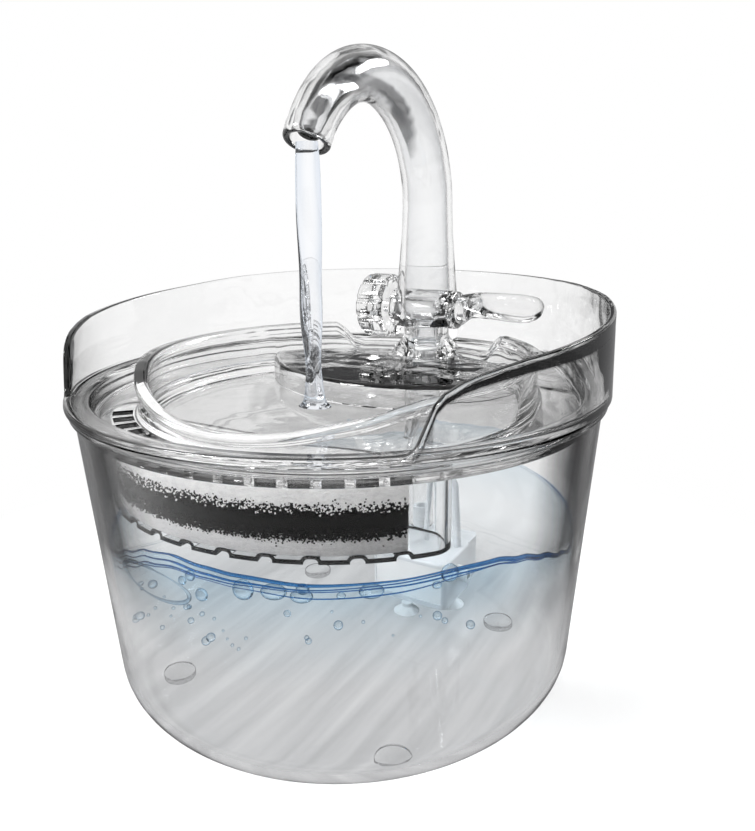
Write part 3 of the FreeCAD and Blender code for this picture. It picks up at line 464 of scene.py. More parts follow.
def crescent(inset, per_arc=96):
    """The tray's plan in mm, inset all round: a front arc, two round ends and a straight back."""
    radius = BOX_RADIUS - inset
    chord = BOX_CHORD + inset
    corner = BOX_CORNER - inset
    reach = math.sqrt((radius - corner) ** 2 - (chord + corner) ** 2)
    meet = math.atan2(chord + corner, reach)
    points = arc((0.0, 0.0), radius, math.pi + meet, math.pi - 2 * meet, per_arc, range(per_arc + 1))
    ends = ((reach, -meet, math.pi / 2), (-reach, math.pi / 2, math.pi + meet))
    for x, start, end in ends:
        points += arc((x, -chord - corner), corner, start, end - start, 12, range(1, 13))
        if x > 0:
            for step in range(1, 24):
                points.append(Vector((reach - 2 * reach * step / 24, -chord)))
    return points[:-1]


def plan_ring(builder, outline, heights):
    """Vertices over a plan in mm, at one height or at one for each point."""
    if isinstance(heights, float):
        heights = [heights] * len(outline)
    return add_ring(builder, [(p.x, p.y, z) for p, z in zip(outline, heights)])


def stacked(levels):
    """Close a body from level outlines of equal length, bottom to top, capped at both ends."""
    builder = bmesh.new()
    rings = [plan_ring(builder, outline, heights) for outline, heights in levels]
    bridge(builder, rings)
    builder.faces.new(list(reversed(rings[0])))
    builder.faces.new(rings[-1])
    return facing_out(builder)


def capped(builder, rings):
    """Bridge the rings of a straight body and close its two ends."""
    bridge(builder, rings)
    builder.faces.new(rings[0])
    builder.faces.new(rings[-1])
    return facing_out(builder)


def wall_top(outline):
    """The tray's wall is higher outside the basin than under it."""
    return [BOX_TOP if p.length > BASIN_RADIUS else BOX_INNER_TOP for p in outline]


outer = crescent(0.0)
inner = crescent(BOX_WALL)
box_builder = bmesh.new()
box_rings = [plan_ring(box_builder, outline, heights) for outline, heights in (
    (inner, BOX_BOTTOM + BOX_FLOOR), (inner, wall_top(inner)), (outer, wall_top(outer)),
    (outer, BOX_BOTTOM))]
bridge(box_builder, box_rings)
box_builder.faces.new(box_rings[0])
box_builder.faces.new(list(reversed(box_rings[-1])))
filter_box = mesh_object("filter_tray", facing_out(box_builder), 30.0)


def new_geometry_tree(name, **takes):
    """An empty geometry tree, its group input and the identifiers of its sockets."""
    tree = bpy.data.node_groups.new(name, "GeometryNodeTree")
    tree.interface.new_socket("Geometry", in_out="OUTPUT", socket_type="NodeSocketGeometry")
    sockets = {}
    for label, kind in takes.items():
        socket = tree.interface.new_socket(label, in_out="INPUT", socket_type="NodeSocket" + kind)
        sockets[label] = socket.identifier
    return tree, tree.nodes.new("NodeGroupInput"), sockets


def stand_copies(tree, given, **places):
    """Stand copies on points, make them real, give them their material and put them out."""
    copies = add_node(tree, "GeometryNodeInstanceOnPoints", places)
    real = add_node(tree, "GeometryNodeRealizeInstances", {0: copies})
    coloured = add_node(tree, "GeometryNodeSetMaterial", {
        "Geometry": real, "Material": given.outputs["Material"]})
    add_node(tree, "NodeGroupOutput", {0: coloured})


def arc_row_tree(name):
    """Geometry nodes: copies of a small block stood along an arc about the Z axis."""
    tree, given, sockets = new_geometry_tree(
        name, Count="Int", Radius="Float", Height="Float", Spread="Float", Size="Vector",
        Material="Material")
    points = add_node(tree, "GeometryNodeMeshLine", {
        "Count": given.outputs["Count"], "Offset": (0, 0, 0)})
    index = add_node(tree, "GeometryNodeInputIndex")
    last = maths(tree, "SUBTRACT", given.outputs["Count"], 1.0)
    share = maths(tree, "DIVIDE", index.outputs[0], last)
    angle = maths(tree, "MULTIPLY", maths(tree, "SUBTRACT", share, 0.5),
                  given.outputs["Spread"])
    spot = add_node(tree, "CombineXYZ", {"Z": given.outputs["Height"]})
    for axis, operation, sign in (("X", "SINE", 1.0), ("Y", "COSINE", -1.0)):
        reach = maths(tree, "MULTIPLY", maths(tree, operation, angle),
                      given.outputs["Radius"])
        tree.links.new(maths(tree, "MULTIPLY", reach, sign), spot.inputs[axis])
    moved = add_node(tree, "GeometryNodeSetPosition", {
        "Geometry": points, "Position": spot})
    block = add_node(tree, "GeometryNodeMeshCube", {"Size": given.outputs["Size"]})
    turn = add_node(tree, "CombineXYZ", {"Z": angle})
    stand_copies(tree, given, Points=moved, Instance=block,
                 Rotation=turn)
    return tree, sockets


arc_row, arc_row_sockets = arc_row_tree("blocks_on_an_arc")


def keep_result(made, modifier):
    """Put the mesh that a modifier gives in place of the object's own."""
    bpy.context.view_layer.update()
    evaluated = made.evaluated_get(bpy.context.evaluated_depsgraph_get())
    mesh = bpy.data.meshes.new_from_object(evaluated)
    made.modifiers.remove(modifier)
    old = made.data
    made.data = mesh
    bpy.data.meshes.remove(old)
    return mesh


def run_geometry_nodes(name, tree, sockets, values, start=None):
    """Evaluate a node tree once and keep its result as a plain mesh object."""
    carrier = bpy.data.objects.new(name, start or bpy.data.meshes.new(name))
    scene.collection.objects.link(carrier)
    modifier = carrier.modifiers.new("nodes", "NODES")
    modifier.node_group = tree
    for label, value in values.items():
        modifier[sockets[label]] = value
    keep_result(carrier, modifier).name = name
    return carrier


def combine(target, tool, operation):
    """Join or cut a piece with a helper body, then throw the helper away."""
    modifier = target.modifiers.new(operation.lower(), "BOOLEAN")
    modifier.operation = operation
    modifier.solver = "EXACT"
    modifier.object = tool
    modifier.material_mode = "TRANSFER"
    keep_result(target, modifier).set_sharp_from_angle(angle=math.radians(35.0))
    bpy.data.objects.remove(tool)


DRAIN_PITCH = math.radians(8.8)
DRAINS = 11
drains = run_geometry_nodes("drain_cutters", arc_row, arc_row_sockets, {
    "Count": DRAINS, "Radius": BOX_RADIUS * MM, "Height": (BOX_BOTTOM + 0.6) * MM,
    "Spread": DRAIN_PITCH * (DRAINS - 1), "Size": (4.0 * MM, 9.0 * MM, 2.2 * MM)})
combine(filter_box, drains, "DIFFERENCE")
filter_box.data.materials.clear()
filter_box.data.materials.append(clear_plastic("tray_clear_plastic", edge_shade=0.2, glint=0.05))
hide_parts("filter_box")
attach(filter_box, "filter")


def closed_tube(builder, points, radius, sides=10):
    """A round cord through a closed loop of points in mm; radius may vary along it."""
    rings = []
    count = len(points)
    for index, point in enumerate(points):
        along = (points[(index + 1) % count] - points[index - 1]).normalized()
        outward = Vector((point.x, point.y, 0.0)).normalized()
        up = along.cross(outward).normalized()
        thick = radius(index / count)
        rings.append([builder.verts.new((point + (outward * math.cos(t) + up * math.sin(t)) * thick) * MM)
                      for t in (2 * math.pi * side / sides for side in range(sides))])
    bridge(builder, rings, loop=True)


def drain_rise(point):
    """How far the tray's foot lifts at a point of its plan: a small arch over each drain."""
    if point.y > -BOX_CHORD - 4.0:
        return 0.0
    from_front = math.atan2(point.x, -point.y)
    step = (from_front / DRAIN_PITCH) % 1.0
    off = min(step, 1.0 - step) * math.degrees(DRAIN_PITCH)
    if abs(from_front) > DRAIN_PITCH * (DRAINS // 2 + 0.4):
        return 0.0
    return 1.3 * max(0.0, 1.0 - (off / 1.75) ** 4)


# The tray's moulded foot: a bead along its lower edge that arches over each drain, painted nearly black as
# shade.
foot_loop = crescent(0.6, per_arc=420)
foot_builder = bmesh.new()
closed_tube(foot_builder, [Vector((q.x, q.y, BOX_BOTTOM + 0.6 + drain_rise(q))) for q in foot_loop],
            lambda share: 0.58, sides=8)
tray_foot = mesh_object("tray_foot_bead", facing_out(foot_builder), 60.0)
tray_foot.data.materials.append(clear_plastic("tray_foot_shadow", edge_shade=0.02, stops=((0.0, 0.10),)))
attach(tray_foot, "filter")


MEDIA_LEFT = -66.0
MEDIA_RIGHT = 46.0
MEDIA_SLANT = 0.53


def media_end(y):
    """Where the layers stop on the right: a slanted cut that leaves room in the tray's end."""
    return MEDIA_RIGHT - MEDIA_SLANT * (y + BOX_CHORD)


def media_layer(name, bottom, top, inset, lumps, seed, node, material, raised=0.0):
    """A soft layer of the filter pack with an uneven top, bottom and side."""
    source = random.Random(seed)
    outline = crescent(inset)
    levels = []
    steps = 10
    waves = [(source.uniform(0.2, 1.2), source.uniform(0, 6.28), source.uniform(5, 40)) for _ in range(14)]
    for step in range(steps + 1):
        share = step / steps
        points = []
        heights = []
        for index, p in enumerate(outline):
            turn = 2 * math.pi * index / len(outline)
            wobble = sum(a * math.sin(f * turn + s + 3 * share) for a, s, f in waves) / len(waves)
            bulge = math.sin(math.pi * share) * 0.35
            edge = wobble * lumps * 0.6 if step in (0, steps) else wobble * lumps * 0.25
            inward = min(1.0, 1.0 - (0.5 - bulge) * 0.01 + wobble * 0.0015)
            end = media_end(p.y) + wobble
            points.append(Vector((max(MEDIA_LEFT, min(end, p.x * inward)), p.y * inward)))
            rise = raised if p.length > BASIN_RADIUS + 0.4 else 0.0
            heights.append(bottom + (top + rise - bottom) * share + edge)
        levels.append((points, heights))
    layer = mesh_object(name, stacked(levels), 60.0)
    layer.data.materials.append(material)
    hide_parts(node)
    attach(layer, "filter")
    return layer


def fibrous(name, colour, dark, scale):
    """Matted fibres: soft streaky bumps with small shadowed gaps."""
    material, tree = new_material(name)
    stretch = add_node(tree, "Mapping", {"Scale": (1.0, 1.0, 2.2), "Vector": object_place(tree)})
    mat = add_node(tree, "TexNoise", {
        "Scale": scale, "Detail": 6.0, "Roughness": 0.75, "Vector": stretch})
    shade = add_ramp(tree, [(0.32, dark), (0.55, colour), (1.0, colour)], mat)
    bump = add_node(tree, "Bump", {"Strength": 0.9, "Distance": 0.0016, "Height": mat})
    surface = add_node(tree, "BsdfPrincipled", {
        "Roughness": 0.95, "Sheen Weight": 0.3, "Base Color": shade, "Normal": bump})
    add_node(tree, "OutputMaterial", {0: surface})
    return material


MEDIA_INSET = BOX_WALL + 0.2
cotton_material = fibrous("filter_cotton", (0.96, 0.96, 0.96), (0.74, 0.74, 0.75), 520.0)
mesh_material = fibrous("filter_mesh", (0.93, 0.93, 0.94), (0.72, 0.72, 0.73), 700.0)
# The cotton gets a faint white glow: painted light that keeps it white in the shade of the lid.
cotton_surface = cotton_material.node_tree.nodes["Principled BSDF"]
cotton_surface.inputs["Emission Color"].default_value = (1.0, 1.0, 1.0, 1.0)
cotton_surface.inputs["Emission Strength"].default_value = 0.14
carbon_material = moulded_plastic("carbon_granule", (0.006, 0.006, 0.006), 0.7, 1.0, 500.0)
carbon_material.node_tree.nodes["Principled BSDF"].inputs["Specular IOR Level"].default_value = 0.15
media_layer("cotton_pad", COTTON_BOTTOM, 96.2, MEDIA_INSET, 0.6, 3, "filter_cotton",
            cotton_material, raised=4.0)
media_layer("carbon_core", CARBON_BOTTOM, COTTON_BOTTOM, MEDIA_INSET + 1.0, 0.6, 5,
            "filter_carbon", carbon_material)
media_layer("base_mesh", BOX_BOTTOM + BOX_WALL + 0.1, CARBON_BOTTOM, MEDIA_INSET, 0.5, 7,
            "filter_base_layer", mesh_material)


def grain_tree(name):
    """Geometry nodes: a rough grain of random size and turn on every point of the mesh."""
    tree, given, sockets = new_geometry_tree(
        name, Geometry="Geometry", Size="Float", Seed="Int", Material="Material")
    points = add_node(tree, "GeometryNodeMeshToPoints", {"Mesh": given.outputs["Geometry"]})
    grain = add_node(tree, "GeometryNodeMeshIcoSphere", {
        "Subdivisions": 1, "Radius": given.outputs["Size"]})
    scale, turn = (add_node(tree, "FunctionNodeRandomValue", {
        0: (low, low, low), 1: (high, high, high), "Seed": given.outputs["Seed"]},
        data_type="FLOAT_VECTOR") for low, high in ((0.35, 1.0), (0.0, 6.28)))
    stand_copies(tree, given, Points=points, Instance=grain,
                 Scale=scale, Rotation=turn)
    return tree, sockets


# Loose grains where the layers meet: black ones in the cotton and base, tufts of white in the carbon.
grains, grain_sockets = grain_tree("grains_on_points")
for name, height, spread, amount, size, seed, material, slot in (
        ("upper_granules", COTTON_BOTTOM - 0.2, 0.85, 4600, 0.44, 21, carbon_material, "carbon"),
        ("lower_granules", CARBON_BOTTOM + 0.2, 0.85, 4600, 0.44, 22, carbon_material, "carbon"),
        ("cotton_tufts", COTTON_BOTTOM + 0.3, 0.7, 900, 0.55, 23, cotton_material, "cotton")):
    source = random.Random(seed)
    outline = crescent(MEDIA_INSET + 0.25)
    grain_points = bpy.data.meshes.new(name)
    spots = []
    while len(spots) < amount:
        index = source.randrange(len(outline))
        here, onward = outline[index], outline[(index + 1) % len(outline)]
        spot = here.lerp(onward, source.random())
        if MEDIA_LEFT + 0.5 < spot.x < media_end(spot.y) - 0.5:
            spots.append((spot.x * MM, spot.y * MM, (height + source.gauss(0.0, spread)) * MM))
    grain_points.from_pydata(spots, [], [])
    scattered = run_geometry_nodes(name, grains, grain_sockets, {
        "Size": size * MM, "Seed": seed, "Material": material}, grain_points)
    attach(scattered, "filter")

# Lid
# The drinking tray: one clear moulding that stands on the tank's rim. Inside its tall back wall
# are the basin ring, the ledge with the grate, the raised deck and the socket for the faucet.
LID_UNDER = 108.2
LID_OUTER = 91.0
LID_TOP_OUTER = 90.2
LID_WALL = 2.2
LID_LIP = 110.4
LID_HIGHEST = 139.5
SPIGOT_OUTER = 85.3
LEDGE_TOP = 103.0
FLOOR_TOP = 99.0
FLOOR_THICKNESS = 2.0
RING_OUTER = 68.5
RING_INNER = 65.5
DECK_TOP = 107.5
DECK_FRONT_RADIUS = 64.0
SOCKET_BORE = 6.55
SOCKET_TOP = 119.0
BORE_FROM = 58.0
BORE_TO = 122.0


def eased(y, stations):
    """Height at y, on straight lines between the stations and level beyond them."""
    if y <= stations[0][0]:
        return stations[0][1]
    for (y0, z0), (y1, z1) in zip(stations, stations[1:]):
        if y <= y1:
            share = (y - y0) / (y1 - y0)
            return z0 + (z1 - z0) * share
    return stations[-1][1]


WALL_STATIONS = ((-66.5, LID_LIP), (-65.0, 111.5), (-61.6, 122.0), (-59.5, 124.9), (-56.0, 127.1),
                 (-52.5, 128.4), (-46.0, 129.9), (-39.5, 131.0), (-25.0, 132.3), (-3.0, 134.0),
                 (19.0, 135.5), (42.0, 137.6), (66.0, 138.9), (91.0, 139.4))
RING_STATIONS = ((-68.5, 108.0), (-64.5, 109.6), (-59.0, 112.0), (-52.5, 113.9), (-47.0, 116.0),
                 (-41.5, 117.4), (-34.0, 118.2), (-28.0, 118.5), (56.6, 118.5), (58.6, 116.0),
                 (60.5, 111.6), (62.5, 110.4))


def band_height(y):
    """Height of the painted dark reflection under the wall's top: it widens from the front notch
    backwards.
    """
    return 0.8 + 2.8 * min(1.0, max(0.0, (y + 64.0) / 50.0))


def lid_line(angle):
    """The tray's cut at one angle from the front; its two tops follow their heights along Y."""
    facing_front = -math.cos(angle)
    wall = max(eased(LID_TOP_OUTER * facing_front, WALL_STATIONS), LID_LIP)
    ring = eased(RING_OUTER * facing_front, RING_STATIONS)
    share = (wall - LID_UNDER) / (LID_HIGHEST - LID_UNDER)
    outer_top = LID_OUTER + (LID_TOP_OUTER - LID_OUTER) * share
    band = band_height(LID_TOP_OUTER * facing_front)
    return rounded([
        (0.0, FLOOR_TOP - FLOOR_THICKNESS, 0), (RING_OUTER, FLOOR_TOP - FLOOR_THICKNESS, 1.2),
        (RING_OUTER, LEDGE_TOP - FLOOR_THICKNESS, 0.8),
        (SPIGOT_OUTER, LEDGE_TOP - FLOOR_THICKNESS, 1.4), (SPIGOT_OUTER, LID_UNDER, 0.3),
        (LID_OUTER, LID_UNDER, 0.7), (outer_top + 0.1, max(wall - band - 2.0, LID_UNDER + 0.9), 0),
        (outer_top + 0.04, max(wall - band - 1.2, LID_UNDER + 1.0), 0),
        (outer_top + 0.01, max(wall - 1.2, LID_UNDER + 1.1), 0),
        (outer_top, wall, 0.9), (outer_top - LID_WALL, wall, 0.9),
        (LID_OUTER - LID_WALL, LID_UNDER + 1.8, 1.6), (SPIGOT_OUTER - LID_WALL, LID_UNDER + 1.8, 1.8),
        (SPIGOT_OUTER - LID_WALL, LEDGE_TOP, 2.2), (RING_OUTER + 0.2, LEDGE_TOP, 1.6),
        (RING_OUTER + 0.2, ring - 2.6, 0.6), (RING_OUTER + 0.9, ring - 1.9, 0.6),
        (RING_OUTER + 0.9, ring, 1.9), (RING_INNER - 0.6, ring, 1.9),
        (RING_INNER - 0.6, ring - 3.2, 0.8), (RING_INNER, ring - 4.0, 0.8),
        (RING_INNER, FLOOR_TOP, 3.2), (0.0, FLOOR_TOP, 0)], steps=5)


lid = mesh_object("drinking_tray", turned_surface(lid_line, 480))
lid_plastic = clear_plastic("lid_clear_plastic", edge_shade=0.02, ripple=0.05, ripple_scale=36.0)
# The cut faces of the grate's windows are nearly black: painted shade in the windows under the grate.
grate_cut_painted_shade = clear_plastic("grate_edge_painted_shade", edge_shade=0.01, stops=((0.0, 0.02),))
lid.data.materials.append(lid_plastic)


def deck_outline(inset, count=72):
    """The deck's plan: a front edge round the socket and a back edge inside the basin ring."""
    front = DECK_FRONT_RADIUS - inset
    back = RING_OUTER - 1.0 - inset
    y = (back ** 2 - front ** 2 + SOCKET_Y ** 2) / (2 * SOCKET_Y)
    x = math.sqrt(back ** 2 - y * y)
    start = math.atan2(y - SOCKET_Y, -x) % (2 * math.pi)
    end = math.atan2(y - SOCKET_Y, x) % (2 * math.pi)
    points = arc((0.0, SOCKET_Y), front, start, end - start, count, range(count))
    start = math.atan2(y, x)
    return points + arc((0.0, 0.0), back, start, math.pi - 2 * start, count, range(count))


DECK_THICKNESS = 2.0
deck_levels = [(deck_outline(2.2), FLOOR_TOP - 1.0), (deck_outline(0.0), FLOOR_TOP - 1.0)]
for step in range(7):
    angle = math.pi / 2 * step / 6
    deck_levels.append((deck_outline(2.0 * (1 - math.cos(angle))),
                        DECK_TOP - 2.0 + 2.0 * math.sin(angle)))
deck_builder = bmesh.new()
deck_rings = [plan_ring(deck_builder, outline, z) for outline, z in deck_levels]
deck_rings.insert(0, plan_ring(deck_builder, deck_outline(2.6), DECK_TOP - DECK_THICKNESS))
bridge(deck_builder, deck_rings)
deck_builder.faces.new(deck_rings[0])
deck_builder.faces.new(list(reversed(deck_rings[-1])))
bmesh.ops.triangulate(deck_builder, faces=[f for f in deck_builder.faces if len(f.verts) > 4])
deck = mesh_object("deck_body", facing_out(deck_builder))

socket_line = rounded([
    (0.0, 62.0, 0), (9.3, 62.0, 0.6), (9.3, 99.6, 1.0), (19.5, 99.6, 0.3), (18.6, 102.5, 2.0),
    (13.2, 109.5, 8.0), (9.3, 114.0, 4.0), (9.3, SOCKET_TOP, 0.8), (0.0, SOCKET_TOP, 0)], steps=6)
bore_line = [Vector(corner) for corner in (
    (0.0, BORE_FROM), (SOCKET_BORE, BORE_FROM), (SOCKET_BORE, BORE_TO), (0.0, BORE_TO))]
combine(lid, deck, "UNION")
for name, line, operation in (("socket_body", socket_line, "UNION"),
                              ("bore_cutter", bore_line, "DIFFERENCE")):
    combine(lid, mesh_object(name, turned_surface(line, 96, (0.0, SOCKET_Y))), operation)

GRATE_MIDDLE = 73.8
GRATE_PITCH = math.radians(6.2)
GRATE_WINDOWS = 15
NOTCH_MIDDLE = (0.0, 88.5, 107.5)
NOTCH_SIZE = (8.0, 11.8, 15.0)
windows = run_geometry_nodes("window_cutters", arc_row, arc_row_sockets, {
    "Count": GRATE_WINDOWS, "Radius": GRATE_MIDDLE * MM, "Height": (LEDGE_TOP - 1.0) * MM,
    "Spread": GRATE_PITCH * (GRATE_WINDOWS - 1), "Size": (5.6 * MM, 6.4 * MM, 6.0 * MM),
    "Material": grate_cut_painted_shade})
combine(lid, windows, "DIFFERENCE")
notch_builder = bmesh.new()
notch_place = Matrix.Translation(Vector(NOTCH_MIDDLE) * MM)
notch_size = Matrix.Diagonal((*(length * MM for length in NOTCH_SIZE), 1.0))
bmesh.ops.create_cube(notch_builder, size=1.0, matrix=notch_place @ notch_size)
combine(lid, mesh_object("notch_cutter", notch_builder), "DIFFERENCE")
PEG_X = 42.0
PEG_Y = -50.0
PEG_FOOT = 89.0
PEG_TOP = 97.6
PEG_RADIUS = 2.0
peg_line = rounded([(0.0, PEG_FOOT, 0), (PEG_RADIUS, PEG_FOOT, 0.5), (PEG_RADIUS, PEG_TOP, 0),
                    (0.0, PEG_TOP, 0)], 3)
for side in (-1, 1):
    combine(lid, mesh_object("peg_body", turned_surface(peg_line, 32, (side * PEG_X, PEG_Y))), "UNION")
# The dark band under the wall's top is a painted dark reflection: it runs along the right side and fades
# out towards the back.
BAND_FRONT = -66.0
BAND_BACK = 62.0
BAND_FADE = 30.0
rim_shade = lid.data.attributes.new("rim_shade", "FLOAT", "POINT")
shades = []
for vertex in lid.data.vertices:
    x, y, z = (c / MM for c in vertex.co)
    wall = max(eased(y, WALL_STATIONS), LID_LIP)
    below = wall - z
    reach = LID_OUTER + (LID_TOP_OUTER - LID_OUTER) * (wall - LID_UNDER) / (LID_HIGHEST - LID_UNDER)
    outside = math.hypot(x, y) > reach - 0.7 and x > 0.0 and BAND_FRONT < y < BAND_BACK
    fading = min(1.0, max(0.0, (BAND_BACK - y) / BAND_FADE))
    shades.append(fading if outside and 0.6 < below < band_height(y) + 1.5 else 0.0)
rim_shade.data.foreach_set("value", shades)
tree = lid_plastic.node_tree
colour_input = tree.nodes["Principled BSDF"].inputs["Base Color"]
clear_colour = colour_input.links[0].from_socket
painted_rim_reflection = add_node(tree, "Attribute", attribute_name="rim_shade").outputs["Fac"]
tree.links.new(blend(tree, painted_rim_reflection, clear_colour, (0.0004, 0.0004, 0.0004, 1.0)), colour_input)
# The deck and the wall behind it came out of the mould wavier than the rest.
wavy = stretch_range(tree, object_axis(tree, "Y"), 0.012, 0.030, 0.05, 0.55)
tree.links.new(wavy, tree.nodes["Bump"].inputs["Strength"])
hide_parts("lid_tray")
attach(lid, "lid")

# Faucet
# A clear hollow gooseneck moulded in two halves and welded: a spigot that pushes into the lid's
# socket, a bell foot with a cross boss for the handle, a tapering leg and a thinning bend.
SHOULDER = 166.0
BEND_RADIUS = 44.0
BEND_SWEEP = math.radians(152.0)
HANDLE_HEIGHT = 125.5
OUTSIDE_STATIONS = ((101.0, 6.0), (101.6, 6.5), (119.3, 6.5), (119.4, 13.2), (120.2, 13.9),
                    (122.0, 14.2), (126.0, 13.6), (130.0, 12.8), (134.4, 12.2), (145.0, 11.2),
                    (156.0, 10.4), (SHOULDER, 10.0))
INSIDE_STATIONS = ((100.9, 4.4), (119.0, 4.4), (122.0, 9.6), (132.0, 9.6), (145.0, 8.9),
                   (SHOULDER, 8.0))
MOUTH_OUTER = 7.3
LIP_START = 0.965
LIP_SWELL = 0.25
SPOUT_WALL = 2.0


def bend_radius(share):
    """Outer radius on the bend: it thins more towards the mouth."""
    return 10.0 - 0.9 * share - 1.8 * share ** 3


def bend_frame(share):
    """Centre and outward direction on the bend, from the shoulder (0) to the mouth (1)."""
    angle = BEND_SWEEP * share
    centre = Vector((0.0, SOCKET_Y - BEND_RADIUS + BEND_RADIUS * math.cos(angle),
                     SHOULDER + BEND_RADIUS * math.sin(angle)))
    return centre, Vector((0.0, math.cos(angle), math.sin(angle)))


def tube_ring(builder, centre, outward, radius, segments=96):
    ring = []
    for angle in full_turn(segments):
        offset = Vector((1.0, 0.0, 0.0)) * math.cos(angle) + outward * math.sin(angle)
        ring.append(builder.verts.new((centre + offset * radius) * MM))
    return ring


def leg_ring(builder, z, radius, segments=96):
    return tube_ring(builder, Vector((0, SOCKET_Y, z)), Vector((0, 1, 0)), radius, segments)


spout_builder = bmesh.new()
spout_rings = []
for z, radius in OUTSIDE_STATIONS:
    spout_rings.append(leg_ring(spout_builder, z, radius))
BEND_STEPS = 96
for step in range(1, BEND_STEPS + 1):
    share = step / BEND_STEPS
    lip = LIP_SWELL if share > LIP_START else 0.0
    spout_rings.append(tube_ring(spout_builder, *bend_frame(share), bend_radius(share) + lip))
centre, outward = bend_frame(1.0)
for drop, radius in ((0.5, MOUTH_OUTER - 0.1), (0.7, MOUTH_OUTER - 0.9), (0.4, MOUTH_OUTER - 1.7)):
    along = Vector((0.0, -math.sin(BEND_SWEEP), math.cos(BEND_SWEEP)))
    spout_rings.append(tube_ring(spout_builder, centre + along * drop, outward, radius))
for step in range(BEND_STEPS, -1, -1):
    share = step / BEND_STEPS
    spout_rings.append(tube_ring(spout_builder, *bend_frame(share), bend_radius(share) - SPOUT_WALL))
for z, radius in reversed(INSIDE_STATIONS[:-1]):
    spout_rings.append(leg_ring(spout_builder, z, radius))
bridge(spout_builder, spout_rings, loop=True)
spout = mesh_object("gooseneck", facing_out(spout_builder), 40.0)


def lying(builder, height=HANDLE_HEIGHT):
    """Lay a body that was turned about Z along X at the handle's height, its top towards +X."""
    turn = Matrix.Rotation(math.pi / 2, 4, "Y")
    shift = Matrix.Translation(Vector((0.0, SOCKET_Y * MM, height * MM)))
    bmesh.ops.transform(builder, matrix=shift @ turn, verts=builder.verts)
    return builder


BOSS_RADIUS = 7.6
BOSS_REACH = 14.7
BOSS_BORE = 3.05
BORE_REACH = 20.0
boss_line = rounded([(0.0, -BOSS_REACH, 0), (BOSS_RADIUS, -BOSS_REACH, 0.8),
                     (BOSS_RADIUS, BOSS_REACH, 0.8), (0.0, BOSS_REACH, 0)], 4)
boss_bore_line = [Vector(corner) for corner in (
    (0.0, -BORE_REACH), (BOSS_BORE, -BORE_REACH), (BOSS_BORE, BORE_REACH), (0.0, BORE_REACH))]
combine(spout, mesh_object("boss_body", lying(turned_surface(boss_line, 64))), "UNION")
combine(spout, mesh_object("boss_bore", lying(turned_surface(boss_bore_line, 48))), "DIFFERENCE")
spout.data.materials.clear()
spout.data.materials.append(clear_plastic("spout_clear_plastic", edge_shade=0.12, ripple=0.08,
                                          ripple_scale=60.0))
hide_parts("faucet_spout")
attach(spout, "faucet")

# Handle
# A clear fluted knob and a flat clear lever, pressed on the two ends of one cross spindle.
KNOB_NEAR = 15.0
KNOB_FAR = 27.6
KNOB_RADIUS = 13.4
KNOB_CORE = 9.5
FLUTES = 10
handle_plastic = clear_plastic("handle_clear_plastic", edge_shade=0.08, ripple=0.03)


def knob_builder():
    """The knob's drum with its hub hole; its radius dips at each flute."""
    builder = bmesh.new()
    profile = rounded([(3.0, KNOB_NEAR, 0), (KNOB_RADIUS, KNOB_NEAR, 2.0), (KNOB_RADIUS, KNOB_FAR, 2.6),
                       (0.0, KNOB_FAR, 0), (0.0, KNOB_FAR - 3.0, 0), (3.0, KNOB_FAR - 3.0, 0)], 6)
    segments = 200
    rings = []
    for angle in full_turn(segments):
        dip = max(0.0, math.cos(FLUTES * angle)) ** 3 * 1.3
        ring = [(r - dip * max(0.0, (r - KNOB_CORE) / (KNOB_RADIUS - KNOB_CORE)), z) for r, z in profile]
        rings.append(add_ring(builder, [(r * math.cos(angle), r * math.sin(angle), -z) for r, z in ring]))
    bridge(builder, rings, loop=True)
    bmesh.ops.remove_doubles(builder, verts=builder.verts, dist=SEAM)
    return facing_out(builder)


knob = mesh_object("fluted_knob", lying(knob_builder()))
knob.data.materials.append(handle_plastic)
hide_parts("handle_knob")
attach(knob, "handle")

spindle_line = rounded([(0.0, -23.6, 0), (3.0, -23.6, 0.6), (3.0, 19.8, 0.6), (0.0, 19.8, 0)], 4)
spindle = mesh_object("cross_spindle", lying(turned_surface(spindle_line, 48)))
spindle.data.materials.append(handle_plastic)
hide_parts("handle_spindle")
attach(spindle, "handle")

LEVER_TILT = math.radians(38.0)
LEVER_STATIONS = (
    (15.3, 5.6, 5.6, 0.0), (17.0, 6.0, 5.8, 0.6), (19.5, 6.3, 4.6, 2.0), (22.5, 6.5, 3.2, 3.4),
    (26.0, 6.7, 2.2, 4.0), (32.0, 7.0, 1.8, 3.9), (39.0, 7.3, 1.6, 3.5), (44.0, 7.2, 1.5, 3.2),
    (47.0, 6.4, 1.4, 3.0), (49.0, 4.8, 1.2, 2.9), (50.2, 2.8, 0.8, 2.8))
lever_builder = bmesh.new()
lever_rings = []
for x, half_width, half_thickness, lift in LEVER_STATIONS:
    ring = []
    for angle in full_turn(48):
        across = math.copysign(abs(math.cos(angle)) ** 0.8, math.cos(angle)) * half_width
        up = math.sin(angle) * half_thickness
        y = across * math.cos(LEVER_TILT) - (up + lift) * math.sin(LEVER_TILT)
        z = across * math.sin(LEVER_TILT) + (up + lift) * math.cos(LEVER_TILT)
        ring.append((x, SOCKET_Y + y, HANDLE_HEIGHT + z))
    lever_rings.append(add_ring(lever_builder, ring))
lever = mesh_object("flat_lever", capped(lever_builder, lever_rings), 50.0)
lever.data.materials.append(handle_plastic)
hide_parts("handle_lever")
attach(lever, "handle")

# Water
# The pump lifts water from the tank to the spout; it falls in one glassy stream on the basin, and
# the tank holds a faintly blue body of water with a waved top and some bubbles.
STREAM_X = 0.6
STREAM_Y = -17.5
STREAM_TOP = 186.5
STREAM_FOOT = 103.6


